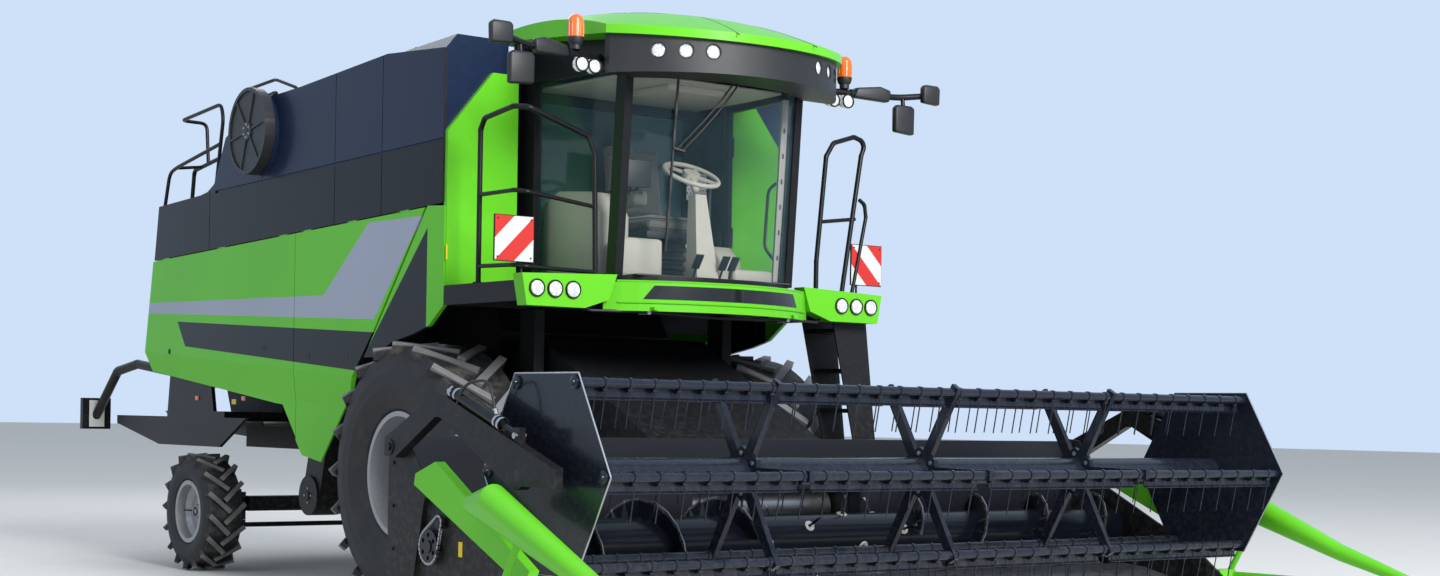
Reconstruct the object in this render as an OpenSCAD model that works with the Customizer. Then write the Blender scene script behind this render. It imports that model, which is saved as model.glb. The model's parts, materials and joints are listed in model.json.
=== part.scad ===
// Combine harvester with a grain header, four wheels, a cab and a side unloading auger.
// Millimetres. +X is the machine's left, -Y is forwards and +Z is up.
// Modules are drawn with the origin on the ground under the front axle, and to_frame() moves
// them so that the origin lies on the ground at the middle of the whole length.

/* [Wheels] */
// Distance from the front axle to the rear axle
wheelbase = 3700; // [3500:10:3900]
// Front tyre diameter out to its lugs
front_tyre_d = 1800; // [1700:10:1850]
// Front tyre width
front_tyre_w = 650; // [560:10:680]
// Distance between the middles of the front tyres
front_track = 2614; // [2560:2:2700]
// Rear tyre diameter out to its lugs
rear_tyre_d = 960; // [900:10:1000]
// Rear tyre width
rear_tyre_w = 320; // [280:10:340]
// Distance between the middles of the rear tyres
rear_track = 2640; // [2600:2:2700]
// Height of a tyre lug
lug_h = 42; // [25:1:50]

/* [Body] */
// Width over the side panels
body_w = 2940; // [2800:10:3000]
// Thickness of a side panel
panel_t = 40; // [25:1:60]
// Gap round a panel or a lid
panel_gap = 8; // [6:1:14]
// Height of the crop elevator's pivot over the ground
feeder_pivot_z = 1560; // [1500:10:1620]
// Wall of the grain tank
tank_wall = 40; // [20:1:60]
// Diameter of the rotary air screen
screen_d = 660; // [560:10:700]
// Diameter of the unloading tube
unload_d = 300; // [260:5:320]

/* [Cab] */
// Width of the cab at its front posts
cab_front_w = 1480; // [1400:10:1560]
// Width of the cab at its rear posts
cab_rear_w = 1740; // [1650:10:1780]
// Height of the cab floor over the ground
cab_floor_z = 2230; // [2200:5:2260]
// Thickness of the cab's glass
glass_t = 8; // [5:1:12]
// Diameter of a handrail tube
rail_d = 34; // [26:1:42]

/* [Header] */
// Width over the header's side sheets
header_w = 5440; // [5200:20:5500]
// Diameter of the header auger over its flights
auger_d = 500; // [440:10:540]
// Diameter of the header auger's tube
auger_tube_d = 270; // [220:10:320]
// Radius from the reel's middle to its tine bars
reel_r = 540; // [480:5:560]
// Diameter of the reel's middle tube
reel_tube_d = 170; // [120:5:200]
// Diameter of a tine bar
tine_bar_d = 50; // [40:1:60]
// Spacing of the tines along a bar
tine_pitch = 155; // [120:5:200]
// Spacing of the knife guards
guard_pitch = 76.2; // [70:0.1:85]

/* [Hidden] */

// Clearance of a shaft or a curved seat that another piece turns in
run_gap = 0.3;
// Facets of a large and of a small round form
fn_large = 96;
fn_small = 32;

// Ends of the whole machine, ahead of and behind the front axle
divider_tip_y = -5050;
marker_end_y = 6050;
frame_shift = -(divider_tip_y + marker_end_y) / 2;

front_axle_z = front_tyre_d / 2;
rear_axle_z = rear_tyre_d / 2;
front_wheel_x = front_track / 2;
rear_wheel_x = rear_track / 2;
// Rim seats: a 32 inch front rim and an 18 inch rear rim
front_rim_r = 406;
front_rim_w = 508;
rear_rim_r = 232;
rear_rim_w = 254;
front_hub_r = 150;
rear_hub_r = 85;
rim_disc_t = 14;

body_x = body_w / 2;
panel_x = body_x - panel_t;
// Straight lines of the body's side, as points ahead of and above the origin
belt_front = [-149, 2701];
belt_rear = [4474, 2561];
function belt_z(y) = belt_front[1]
    + (y - belt_front[0]) * (belt_rear[1] - belt_front[1]) / (belt_rear[0] - belt_front[0]);
panel_split_y = 1800;
lip_z = 3143;
lip_slope = -0.022;
tank_front_y = -360;
tank_nest_y = -60;
tank_rear_y = 1750;
tank_top_front = 3834;
tank_slope = -0.055;
function tank_top(y) = tank_top_front + (y - tank_front_y) * tank_slope;
nest_x = 980;
chamfer = 90;
// Where the left side steps in to make room for the unloading tube
ledge_x = body_x - 390;
unload_x = ledge_x + 205;
unload_y = 300;
unload_z = 3340;
unload_end_y = 5000;
screen_y = 2414;
screen_z = 3445;

housing_x = 720;
housing_top = 2250;
rail_top = 1180;
jaw_y = 4370;
jaw_z = 860;
jaw_ear = 25;
jaw_pin_r = 16.5;
rail_bottom = 1000;
rail_in = 560;
rail_out = 680;

cab_front_y = -1270;
cab_rear_y = -160;
cab_front_x = cab_front_w / 2;
cab_rear_x = cab_rear_w / 2;
cab_head_z = 3560;
cab_lean = 4;
screen_bulge = 280;
post = 60;
// How far the front posts reach ahead, to hold the windscreen between them
post_lip = 45;
platform_z = 2160;
platform_t = 130;
platform_front_y = -1290;
// Middle of the post behind the cab's door, ahead of the tank's wings
door_post_y = -440;
roof_rear_y = -70;
roof_front_y = -2050;
roof_half_w = 975;
roof_plan_r = 1150;
roof_under_z = 3630;
roof_top_z = 4050;
// Height of the roof's lower edge along its length
function roof_lip_z(y) = 3690 + (y - roof_front_y) * 0.085;

header_x = header_w / 2;
sheet_t = 20;
header_back_y = -2100;
header_beam = 120;
header_beam_z = 1070;
trough_end_y = -3200;
auger_y = -2500;
auger_z = 600;
auger_gap = 20;
reel_y = -3420;
reel_z = 1020;
reel_half = header_x - 105;
spider_x = [-1325, 0, 1325];
arm_x = header_x + 6;
arm_t = 60;
arm_pivot = [-2110, 1130];

feeder_pivot_y = -300;
feeder_half = 690;
cheek_x = 725;
feeder_wall = 15;
feeder_drum_r = 290;
feeder_mouth = [360, 1020];
feeder_front_y = -1975;

kingpin_x = rear_wheel_x - 300;
kingpin_r = 25;
knuckle_arm_y = 220;

// Moves the machine so that the origin is at the middle of its length
module to_frame() {
    translate([0, frame_shift, 0]) children();
}

// The piece and its mirror image on the machine's other side
module both_sides() {
    children();
    mirror([1, 0, 0]) children();
}

// Extrudes an outline of y and z points along X, from x for a thickness t
module side_plate(points, x, t) {
    translate([x, 0, 0]) rotate([90, 0, 90]) linear_extrude(t) polygon(points);
}

// Extrudes an outline of x and z points along Y, from y for a thickness t
module front_plate(points, y, t) {
    translate([0, y + t, 0]) rotate([90, 0, 0]) linear_extrude(t) polygon(points);
}

// A block between two opposite corners
module block(low, high) {
    translate(low) cube([high[0] - low[0], high[1] - low[1], high[2] - low[2]]);
}

// A round bar from p to q
module rod(p, q, d, fn = fn_small) {
    v = q - p;
    translate(p)
        rotate([0, acos(v[2] / norm(v)), atan2(v[1], v[0])])
            cylinder(h = norm(v), d = d, $fn = fn);
}

function unit(v) = v / norm(v);
// Unit vectors into and out of a bend, and the angle that the tube turns by there
function way_in(points, i) = unit(points[i] - points[i - 1]);
function way_out(points, i) = unit(points[i + 1] - points[i]);
function turn(points, i) = acos(way_in(points, i) * way_out(points, i));
function is_bend(points, i) = i > 0 && i < len(points) - 1;
// Length of straight tube that a bend of radius r takes away
function bend_cut(points, i, r) = is_bend(points, i) ? r * tan(turn(points, i) / 2) : 0;

// A tube along a list of points, with a collar of its own radius round each bend
module bent_tube(points, d, r = 0, fn = 24) {
    bend_r = r > 0 ? r : d * 1.5;
    collar = 2;
    for (i = [0 : len(points) - 2]) {
        v = way_out(points, i);
        inset = [for (k = [i, i + 1]) max(0, bend_cut(points, k, bend_r) - (is_bend(points, k) ? collar : 0))];
        rod(points[i] + v * inset[0], points[i + 1] - v * inset[1], d, fn);
    }
    if (len(points) > 2)
        for (i = [1 : len(points) - 2]) {
            a = way_in(points, i);
            t = turn(points, i);
            n = unit(way_out(points, i) - a * cos(t));
            z = cross(a, n);
            translate(points[i] - a * bend_cut(points, i, bend_r) + n * bend_r)
                rotate([atan2(a[2], z[2]), asin(n[2]), atan2(-n[1], -n[0])])
                    rotate_extrude(angle = t, $fn = fn * 3) translate([bend_r, 0]) circle(d = d + collar, $fn = fn);
        }
}

// A disc or tube about an axle along X
module axle_ring(x, y, z, t, r, bore = 0, fn = fn_large) {
    translate([x, y, z]) rotate([0, 90, 0]) difference() {
        cylinder(h = t, r = r, $fn = fn);
        if (bore > 0) translate([0, 0, -1]) cylinder(h = t + 2, r = bore, $fn = fn);
    }
}

// Points on an arc about c, from angle a0 to a1
function arc(c, r, a0, a1, n) =
    [for (i = [0 : n]) let (a = a0 + (a1 - a0) * i / n) c + r * [cos(a), sin(a)]];

// Wheels

// A tyre's half outline as radius and distance from its middle, from the bead to the crown
function tyre_side(r_out, w, r_rim, w_rim) = [
    [r_rim, w_rim / 2],
    [r_rim + 25, w_rim / 2],
    [r_rim + 40, w_rim / 2 + 22],
    [r_rim + (r_out - r_rim) * 0.42, w / 2],
    [r_rim + (r_out - r_rim) * 0.62, w / 2],
    [r_out - (r_out - r_rim) * 0.12, w * 0.46],
    [r_out, w * 0.38]
];

// Bars of the tread, which lean from the middle of the crown to each shoulder in turn
lug_lean = 42;
module tyre_lugs(r_out, w, t, n) {
    reach = w * 0.47;
    len = (reach + t * 0.6) / cos(lug_lean);
    // The bar's ends are further from the axle than its middle, so it is set a little lower
    top = sqrt(r_out * r_out - pow(len / 2 * sin(lug_lean) + t / 2, 2));
    for (s = [-1, 1], i = [0 : n - 1])
        rotate([(i + (s > 0 ? 0.5 : 0)) * 360 / n, 0, 0]) translate([s * (reach - t * 0.6) / 2, 0, top - lug_h])
            rotate([0, 0, s * lug_lean]) cube([len, t, lug_h * 2], center = true);
}

module tyre(r_out, w, r_rim, w_rim, lug_t, lugs) {
    half = tyre_side(r_out - lug_h, w, r_rim, w_rim);
    lower = [for (i = [len(half) - 1 : -1 : 0]) [half[i][0], -half[i][1]]];
    rotate([0, 90, 0]) rotate_extrude($fn = fn_large) polygon(concat(half, lower));
    tyre_lugs(r_out, w, lug_t, lugs);
}

// A steel rim with its disc at disc_x from the tyre's middle, positive outwards on the left side
module rim(r_rim, w_rim, disc_x, hub_r) {
    seat = r_rim - run_gap;
    wall = 12;
    bolt_r = hub_r * 0.78;
    dish = r_rim * 0.2;
    axle_ring(-w_rim / 2, 0, 0, w_rim, seat, seat - wall);
    for (s = [-1, 1])
        translate([s > 0 ? w_rim / 2 : -w_rim / 2 - wall, 0, 0])
            axle_ring(0, 0, 0, wall, r_rim + 22, seat - wall);
    // Dished shoulder between the disc and the seat
    difference() {
        translate([disc_x, 0, 0]) rotate([0, 90, 0]) cylinder(h = dish, r1 = seat - dish - wall, r2 = seat - wall / 2, $fn = fn_large);
        translate([disc_x - 1, 0, 0]) rotate([0, 90, 0]) cylinder(h = dish + 2, r1 = seat - dish - wall * 2 - 1, r2 = seat - wall * 1.5 + 1, $fn = fn_large);
    }
    difference() {
        axle_ring(disc_x, 0, 0, rim_disc_t, seat - wall / 2, hub_r * 0.45);
        for (i = [0 : 9])
            rotate([i * 36, 0, 0]) translate([0, 0, bolt_r])
                axle_ring(disc_x - 1, 0, 0, rim_disc_t + 2, hub_r * 0.08, 0, 24);
    }
}

module front_tyre_left() {
    color("#26272a") translate([front_wheel_x, 0, front_axle_z])
        tyre(front_tyre_d / 2, front_tyre_w, front_rim_r, front_rim_w, 56, 20);
}
module front_rim_left() {
    color("#9a9da1") translate([front_wheel_x, 0, front_axle_z])
        rim(front_rim_r, front_rim_w, 0, front_hub_r);
}
module rear_tyre_left() {
    color("#26272a") translate([rear_wheel_x, wheelbase, rear_axle_z])
        tyre(rear_tyre_d / 2, rear_tyre_w, rear_rim_r, rear_rim_w, 38, 16);
}
module rear_rim_left() {
    color("#9a9da1") translate([rear_wheel_x, wheelbase, rear_axle_z])
        rim(rear_rim_r, rear_rim_w, 20, rear_hub_r);
}
module front_tyre_right() { mirror([1, 0, 0]) front_tyre_left(); }
module front_rim_right() { mirror([1, 0, 0]) front_rim_left(); }
module rear_tyre_right() { mirror([1, 0, 0]) rear_tyre_left(); }
module rear_rim_right() { mirror([1, 0, 0]) rear_rim_left(); }

// The gearbox, axle tubes and final drives that carry the front wheels
module front_axle() {
    tyre_in = front_wheel_x - front_tyre_w / 2;
    drive_out = tyre_in - 25;
    color("#2b2c2e") {
        block([-260, -230, front_axle_z - 200], [260, 230, front_axle_z + 190]);
        both_sides() {
            axle_ring(255, 0, front_axle_z, drive_out - 300, 95);
            side_plate([[-210, front_axle_z - 190], [210, front_axle_z - 190],
                [240, front_axle_z], [200, rail_top + 20], [-200, rail_top + 20],
                [-240, front_axle_z]], drive_out - 180, 180);
            axle_ring(drive_out, 0, front_axle_z, front_wheel_x - drive_out, front_hub_r);
            axle_ring(front_wheel_x, 0, front_axle_z, 60, front_hub_r * 0.45 - run_gap);
            // Pad under the frame's rail
            block([rail_in, -130, front_axle_z], [rail_out, 130, rail_bottom]);
        }
    }
}

// The rear axle beam, hung from a fore-and-aft pin under the frame
module rear_axle_beam() {
    beam_z = rear_axle_z + 60;
    beam_h = 60;
    color("#2b2c2e") {
        block([-kingpin_x + 58, wheelbase - 80, beam_z - beam_h], [kingpin_x - 58, wheelbase + 80, beam_z + beam_h]);
        front_plate([[-260, beam_z + beam_h - 5], [260, beam_z + beam_h - 5], [110, beam_z + 280],
            [-110, beam_z + 280]], wheelbase - 70, 140);
        both_sides() {
            translate([kingpin_x, wheelbase, rear_axle_z - 70]) cylinder(h = 190, r = 62, $fn = 48);
            translate([kingpin_x, wheelbase, rear_axle_z - 130]) cylinder(h = 310, r = kingpin_r, $fn = 48);
        }
        translate([0, wheelbase - 130, beam_z + 210]) rotate([-90, 0, 0]) cylinder(h = 260, r = 35, $fn = 48);
    }
}

// A steering knuckle: a fork round the beam's end, a spindle for the wheel and a steering arm
module knuckle() {
    fork_in = kingpin_x;
    difference() {
        union() {
            for (z = [rear_axle_z - 105, rear_axle_z + 125])
                translate([kingpin_x, wheelbase, z]) {
                    cylinder(h = 30, r = 62, $fn = 48);
                    translate([0, -55, 0]) cube([110, 110, 30]);
                }
            block([kingpin_x + 80, wheelbase - 70, rear_axle_z - 105],
                [kingpin_x + 120, wheelbase + 70, rear_axle_z + 155]);
            block([kingpin_x - 30, wheelbase + 40, rear_axle_z - 105],
                [kingpin_x + 30, wheelbase + knuckle_arm_y + 40, rear_axle_z - 75]);
        }
        translate([kingpin_x, wheelbase, rear_axle_z - 200])
            cylinder(h = 500, r = kingpin_r + run_gap, $fn = 48);
        translate([kingpin_x, wheelbase + knuckle_arm_y, rear_axle_z - 200])
            cylinder(h = 300, r = 14 + run_gap, $fn = 32);
    }
    spindle_out = rear_wheel_x + 20;
    axle_ring(kingpin_x + 110, wheelbase, rear_axle_z, spindle_out - kingpin_x - 110, rear_hub_r);
    axle_ring(spindle_out, wheelbase, rear_axle_z, 55, rear_hub_r * 0.45 - run_gap, 0, 48);
}
module rear_knuckle_left() { color("#3a3b3d") knuckle(); }
module rear_knuckle_right() { color("#3a3b3d") mirror([1, 0, 0]) knuckle(); }

// The rod that ties the two steering arms, with a pin at each end
module tie_rod() {
    y = wheelbase + knuckle_arm_y;
    z = rear_axle_z - 130;
    color("#3a3b3d") {
        rod([-kingpin_x + 20, y, z], [kingpin_x - 20, y, z], 40, 48);
        both_sides() {
            translate([kingpin_x, y, z - 24]) cylinder(h = 48, r = 32, $fn = 48);
            translate([kingpin_x, y, z]) cylinder(h = 70, r = 14, $fn = 32);
        }
    }
}

// Chassis and the threshing body

module chassis_frame() {
    color("#2b2c2e") {
        both_sides() {
            block([rail_in, -420, rail_bottom], [rail_out, 4300, rail_top]);
            // Cheek that carries the crop elevator's pivot
            difference() {
                side_plate([[-420, rail_bottom], [-150, rail_bottom], [60, 1400],
                    [60, feeder_pivot_z + 120], [-420, feeder_pivot_z + 120]], cheek_x, 40);
                axle_ring(cheek_x - 5, feeder_pivot_y, feeder_pivot_z, 50, 60 + run_gap, 0, 64);
            }
            block([rail_out - 10, -420, 1020], [cheek_x + 10, -160, rail_top - 20]);
            // Post that carries the platform
            block([cheek_x + 35, -520, 1300], [cheek_x + 115, -340, platform_z - platform_t - run_gap]);
        }
        for (y = [-410, 4200])
            block([-rail_in - 10, y, 1020], [rail_in + 10, y + 90, rail_top - 20]);
        // Hanger of the rear axle's pin
        for (y = [wheelbase - 130, wheelbase + 90])
            difference() {
                block([-120, y, rear_axle_z + 200], [120, y + 40, rail_bottom + 10]);
                translate([0, y - 5, rear_axle_z + 270]) rotate([-90, 0, 0])
                    cylinder(h = 50, r = 35 + run_gap, $fn = 48);
            }
        block([-rail_in - 10, wheelbase - 130, rail_bottom], [rail_in + 10, wheelbase + 130, 1060]);
        // Trailer jaw under the last cross member
        difference() {
            union() {
                block([-90, 4210, jaw_z - 70], [90, 4280, 1030]);
                for (z = [jaw_z - 55, jaw_z + 30])
                    hull() {
                        block([-90, 4270, z], [90, 4280, z + jaw_ear]);
                        translate([0, jaw_y, z]) cylinder(h = jaw_ear, r = 50, $fn = 32);
                    }
            }
            translate([0, jaw_y, jaw_z - 100]) cylinder(h = 200, r = jaw_pin_r, $fn = 48);
        }
    }
}

module threshing_housing() {
    belly_x = 540;
    color("#303134") {
        side_plate([[90, rail_top], [90, 1900], [300, housing_top], [3400, housing_top],
            [3400, rail_top]], -housing_x, housing_x * 2);
        side_plate([[350, rail_top + 10], [350, 900], [900, 700], [1500, 700], [1900, 860],
            [2550, 900], [3250, 1120], [3300, rail_top + 10]], -belly_x, belly_x * 2);
        // Clean grain elevator on the right and tailings elevator on the left
        for (s = [-1, 1]) mirror([s < 0 ? 1 : 0, 0, 0]) {
            side_plate([[1790, 640], [2070, 640], [1535, 2470], [1295, 2470]], 1060, 190);
            axle_ring(1040, 1930, 680, 230, 150, 0, 64);
            block([housing_x - 5, 1850, 900], [1065, 1950, 960]);
            block([housing_x - 5, 1400, 2150], [1065, 1520, 2200]);
        }
        // Belt pulleys on both sides of the housing
        for (p = [[500, 1500, 260], [1150, 1750, 180], [2300, 1500, 210], [3000, 1850, 150]])
            both_sides() axle_ring(housing_x - 2, p[0], p[1], 90, p[2], 0, 64);
    }
}

// Bevels along the top edges of the tank and the deck
bevel_tilt = 40;
module tank_bevels() {
    for (s = [0, 1]) mirror([s, 0, 0])
        translate([body_x, -500, tank_top(0) - chamfer]) rotate([0, -bevel_tilt, 0])
            rotate([-atan(tank_slope), 0, 0]) cube([400, 4200, 300]);
}
// Shadow gap under the lip of the upper side, and seams down the side
groove = 12;
module lip_groove(y0, y1) {
    both_sides() translate([body_x - groove, y0, lip_z - 26 + (y0 - tank_front_y) * lip_slope])
        rotate([atan(lip_slope), 0, 0]) cube([groove + 5, y1 - y0, 22]);
}
module side_seams(places) {
    both_sides() for (y = places) block([body_x - 6, y, 2500], [body_x + 5, y + 8, 3900]);
}

// Grain tank: hollow, with a hopper floor and the two wings that close on the cab
module grain_tank() {
    left_x = ledge_x;
    hopper_x = 700;
    hopper_z = housing_top + run_gap;
    color("#1b2130") difference() {
        union() {
            difference() {
                side_plate([[tank_nest_y, belt_z(tank_nest_y)], [tank_nest_y, tank_top(tank_nest_y)],
                    [tank_rear_y, tank_top(tank_rear_y)], [tank_rear_y, belt_z(tank_rear_y)]],
                    -body_x, body_w);
                block([left_x, tank_nest_y - 1, lip_z], [body_x + 1, tank_rear_y + 1, 4000]);
            }
            for (s = [0, 1]) mirror([s, 0, 0])
                side_plate([[tank_front_y, belt_z(tank_front_y)], [tank_front_y, tank_top_front],
                    [tank_nest_y + 1, tank_top(tank_nest_y)], [tank_nest_y + 1, belt_z(tank_nest_y)]],
                    nest_x, body_x - nest_x);
            front_plate([[-body_x + 60, belt_z(0) + 5], [-hopper_x, hopper_z], [hopper_x, hopper_z],
                [body_x - 60, belt_z(0) + 5]], tank_nest_y + 60, tank_rear_y - tank_nest_y - 120);
        }
        // Inside of the tank, open at the top under the lids
        block([-body_x + tank_wall, tank_nest_y + tank_wall, belt_z(0) + tank_wall],
            [left_x - tank_wall, tank_rear_y - tank_wall, 3700]);
        block([-body_x + 180, lid_y[0] + 40, 3600], [left_x - 160, lid_y[1] - 40, 4000]);
        front_plate([[-body_x + 60 + tank_wall * 2, belt_z(0) + tank_wall + 1],
            [-hopper_x + 10, hopper_z + tank_wall], [hopper_x - 10, hopper_z + tank_wall],
            [left_x - tank_wall, belt_z(0) + tank_wall + 1]], tank_nest_y + 100,
            tank_rear_y - tank_nest_y - 200);
        tank_bevels();
        lip_groove(tank_front_y - 1, tank_rear_y + 1);
        side_seams([480, 1180]);
    }
    color("#1b2130") {
        lid_hinge_mounts();
        panel_hinge_mounts(front_hinges);
    }
    // Seat of the unloading tube's turret
    color("#1b2130") difference() {
        translate([unload_x, unload_y, lip_z - 20]) cylinder(h = 40, r = unload_d / 2 + 30, $fn = 64);
        translate([unload_x, unload_y, lip_z]) cylinder(h = 40, r = unload_d / 2 - 10, $fn = 64);
    }
}

// The two roof lids of the grain tank, hinged along their outer edges
lid_y = [90, 1650];
lid_out_x = [-body_x + 140, ledge_x - 120];
lid_split_x = (lid_out_x[0] + lid_out_x[1]) / 2 + 50;
lid_t = 30;
lid_barrel_r = 12;
// Middles of the hinge barrels, as distances along a lid's edge
lid_hinges = [250, 1310];
hinge_len = 120;

// The line that a lid's hinge turns about, drawn along +Y from the lid's front edge
module on_lid_edge(x) {
    translate([x, lid_y[0], tank_top(lid_y[0]) + lid_barrel_r + 3]) rotate([atan(tank_slope), 0, 0])
        children();
}
module hinge_barrel(y, len, r, bore) {
    translate([0, y - len / 2, 0]) rotate([-90, 0, 0]) difference() {
        cylinder(h = len, r = r, $fn = 32);
        if (bore > 0) translate([0, 0, -1]) cylinder(h = len + 2, r = bore, $fn = 32);
    }
}
// A lid with its outer edge at x_out and its inner edge at x_in
module tank_lid(x_out, x_in) {
    s = sign(x_out - x_in);
    top = lid_t + run_gap;
    color("#1b2130") {
        side_plate([[lid_y[0], tank_top(lid_y[0]) + run_gap], [lid_y[0], tank_top(lid_y[0]) + top],
            [lid_y[1], tank_top(lid_y[1]) + top], [lid_y[1], tank_top(lid_y[1]) + run_gap]],
            min(x_out, x_in), abs(x_out - x_in));
        on_lid_edge(x_out + s * (lid_barrel_r + 6)) for (y = lid_hinges) {
            hinge_barrel(y, hinge_len, lid_barrel_r, 5 + run_gap);
            difference() {
                translate([min(0, -s * 30), y - hinge_len / 2, 2]) cube([30, hinge_len, lid_barrel_r - 2]);
                hinge_barrel(y, hinge_len + 2, 8, 0);
            }
        }
    }
}
module tank_lid_right() { tank_lid(lid_out_x[0], lid_split_x - 5); }
module tank_lid_left() { tank_lid(lid_out_x[1], lid_split_x + 5); }

// Fixed barrels and pins of the lids' hinges
module lid_hinge_mounts() {
    for (s = [-1, 1])
        on_lid_edge(s > 0 ? lid_out_x[1] + lid_barrel_r + 6 : lid_out_x[0] - lid_barrel_r - 6)
            for (y = lid_hinges) {
                for (e = [-1, 1]) translate([0, e * (hinge_len / 2 + 21), 0]) {
                    hinge_barrel(y, 40, lid_barrel_r, 0);
                    translate([min(0, s * lid_barrel_r), y - 20, -lid_barrel_r - 4])
                        cube([lid_barrel_r, 40, lid_barrel_r + 4]);
                }
                hinge_barrel(y, hinge_len + 60, 5, 0);
            }
}

// Engine deck behind the tank: a shell over the engine
module engine_deck() {
    y0 = tank_rear_y + run_gap;
    wall = tank_wall;
    outer = concat([[y0, belt_z(y0)], [y0, tank_top(y0)], [2524, 3695], [3063, 3463], [3265, 3116]],
        [[3390, 3062], [3530, 3044], [4371, 3011], [4450, belt_z(4450)]]);
    inner = [[y0 + wall, 2500], [y0 + wall, tank_top(y0) - wall], [2505, 3655], [3035, 3432],
        [3235, 3085], [3375, 3020], [3525, 3004], [4330, 2972], [4405, 2500]];
    color("#1b2130") difference() {
        side_plate(outer, -body_x, body_w);
        difference() {
            side_plate(inner, -body_x + wall, body_w - wall * 2);
            block([ledge_x - wall, y0 - 1, lip_z - wall], [body_x + 1, 5000, 4000]);
        }
        block([ledge_x, y0 - 1, lip_z], [body_x + 1, 3400, 4000]);
        axle_ring(-body_x - 10, screen_y, screen_z - 40, wall + 20, screen_d / 2 - 60);
        tank_bevels();
        lip_groove(y0 - 1, 3240);
        side_seams([3340]);
    }
    color("#1b2130") panel_hinge_mounts(rear_hinges);
    // Ring and bearing bar that carry the air screen
    color("#17181a") {
        difference() {
            axle_ring(-body_x - 34, screen_y, screen_z - 15, 34.5, screen_d / 2 - 16, screen_d / 2 - 60);
            block([-body_x - 60, screen_y - screen_d, 3712], [-body_x + 60, screen_y + screen_d, 4200]);
        }
        block([-body_x - 4, screen_y - 30, 3090], [-body_x + 20, screen_y + 30, screen_z + 40]);
        axle_ring(-body_x - 30, screen_y, screen_z, 60, 45, 0, 48);
        axle_ring(-body_x - 124, screen_y, screen_z, 110, 25, 0, 48);
    }
}

// Rotating mesh screen in front of the radiator
module rotary_screen() {
    color("#101113") {
        axle_ring(-body_x - 110, screen_y, screen_z, 70, screen_d / 2, 25 + run_gap);
        axle_ring(-body_x - 122, screen_y, screen_z, 13, screen_d / 2, screen_d / 2 - 28);
        for (i = [0 : 5]) translate([0, screen_y, screen_z]) rotate([i * 60 + 20, 0, 0])
            block([-body_x - 120, -8, 60], [-body_x - 109, 8, screen_d / 2 - 20]);
        difference() {
            axle_ring(-body_x - 122, screen_y, screen_z, 14, 70, 0, 48);
            axle_ring(-body_x - 130, screen_y, screen_z, 30, 25 + run_gap, 0, 48);
        }
    }
}

module engine_block() {
    color("#4a4c4f") block([-520, 2150, housing_top], [620, 3050, 3250]);
}

hood_z = 1300;
module straw_hood() {
    hood_x = 780;
    color("#232426") {
        side_plate([[3400, hood_z], [4400, hood_z], [4560, 1640], [5000, 1760], [5060, 2150],
            [4700, 2540], [3400, 2540]], -hood_x, hood_x * 2);
        // Rear walls between the side panels, beside the hood
        both_sides() {
            block([hood_x - 5, 4330, 1650], [panel_x - 10, 4370, 2540]);
            block([panel_x - 60, 2700, 2480], [panel_x - 14, 4370, 2540]);
        }
    }
}

// Straw chopper, chaff spreader and the rear marker arms
module straw_chopper() {
    x = 1290;
    wall = 30;
    color("#17181a") {
        // Chopper housing across the machine under the hood's outlet
        side_plate([[3402, 1240], [4500, 1240], [4600, 1296], [4470, hood_z - run_gap],
            [3402, hood_z - run_gap]], -x, x * 2);
        both_sides() {
            side_plate([[3600, 1250], [4560, 1250], [4500, 1649], [3700, 1649]], x - wall, wall);
            // Side of the spreader
            side_plate([[3500, 1010], [4730, 1010], [5680, 1180], [5680, 1250], [3000, 1250]],
                x - wall, wall);
            block([781, 4280, 1500], [x - 5, 4329, 1649]);
        }
        // Deflector with its vanes
        side_plate([[4490, 1215], [5680, 1170], [5680, 1200], [4490, 1245]], -x + 5, x * 2 - 10);
        for (k = [-3 : 3])
            side_plate([[4700, 1060], [5600, 1110], [5600, 1180], [4700, 1215]], k * 340 - 6, 12);
        // Marker arms with their lamp plates
        both_sides() {
            bent_tube([[x - 20, 4400, 1620], [x + 30, 5150, 1700], [x + 70, 5500, 1640],
                [x + 70, marker_end_y - 50, 1240]], 80);
            block([x - 60, marker_end_y - 60, 1120], [x + 200, marker_end_y, 1400]);
        }
    }
}

// Front wall of the body beside the cab, and the fixed sides over the front wheels
wall_t = 40;
wall_y = tank_front_y - wall_t - run_gap;
module body_front_wall() {
    side_top = -165;
    color("#5fc92c") both_sides()
        front_plate([[nest_x - 60, platform_z - 40], [body_x - 10, platform_z - 40],
            [body_x - 10, 3185], [nest_x + 140, 3600], [nest_x - 60, 3600]], wall_y, wall_t);
    color("#232426") both_sides()
        side_plate([[wall_y + 10, 2030], [wall_y + 10, belt_z(tank_front_y) - 20],
            [side_top, belt_z(side_top) - run_gap], [540, 1880], [700, 1700], [560, 1700], [300, 1800],
            [0, 1850], [-200, 1900]], body_x - 30, 30);
}

// Platforms beside the cab, and the ladder up to the left one
module platform() {
    back_y = wall_y - run_gap;
    under = platform_z - platform_t;
    color("#232426") {
        both_sides() {
            block([760, platform_front_y, platform_z - 30], [body_x, back_y, platform_z]);
            block([body_x - 20, platform_front_y, under], [body_x, back_y, platform_z - 25]);
            for (y = [platform_front_y, back_y - 60])
                block([760, y, under], [body_x - 15, y + 60, platform_z - 25]);
        }
        block([-765, platform_front_y, under], [765, back_y, platform_z]);
    }
}

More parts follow.
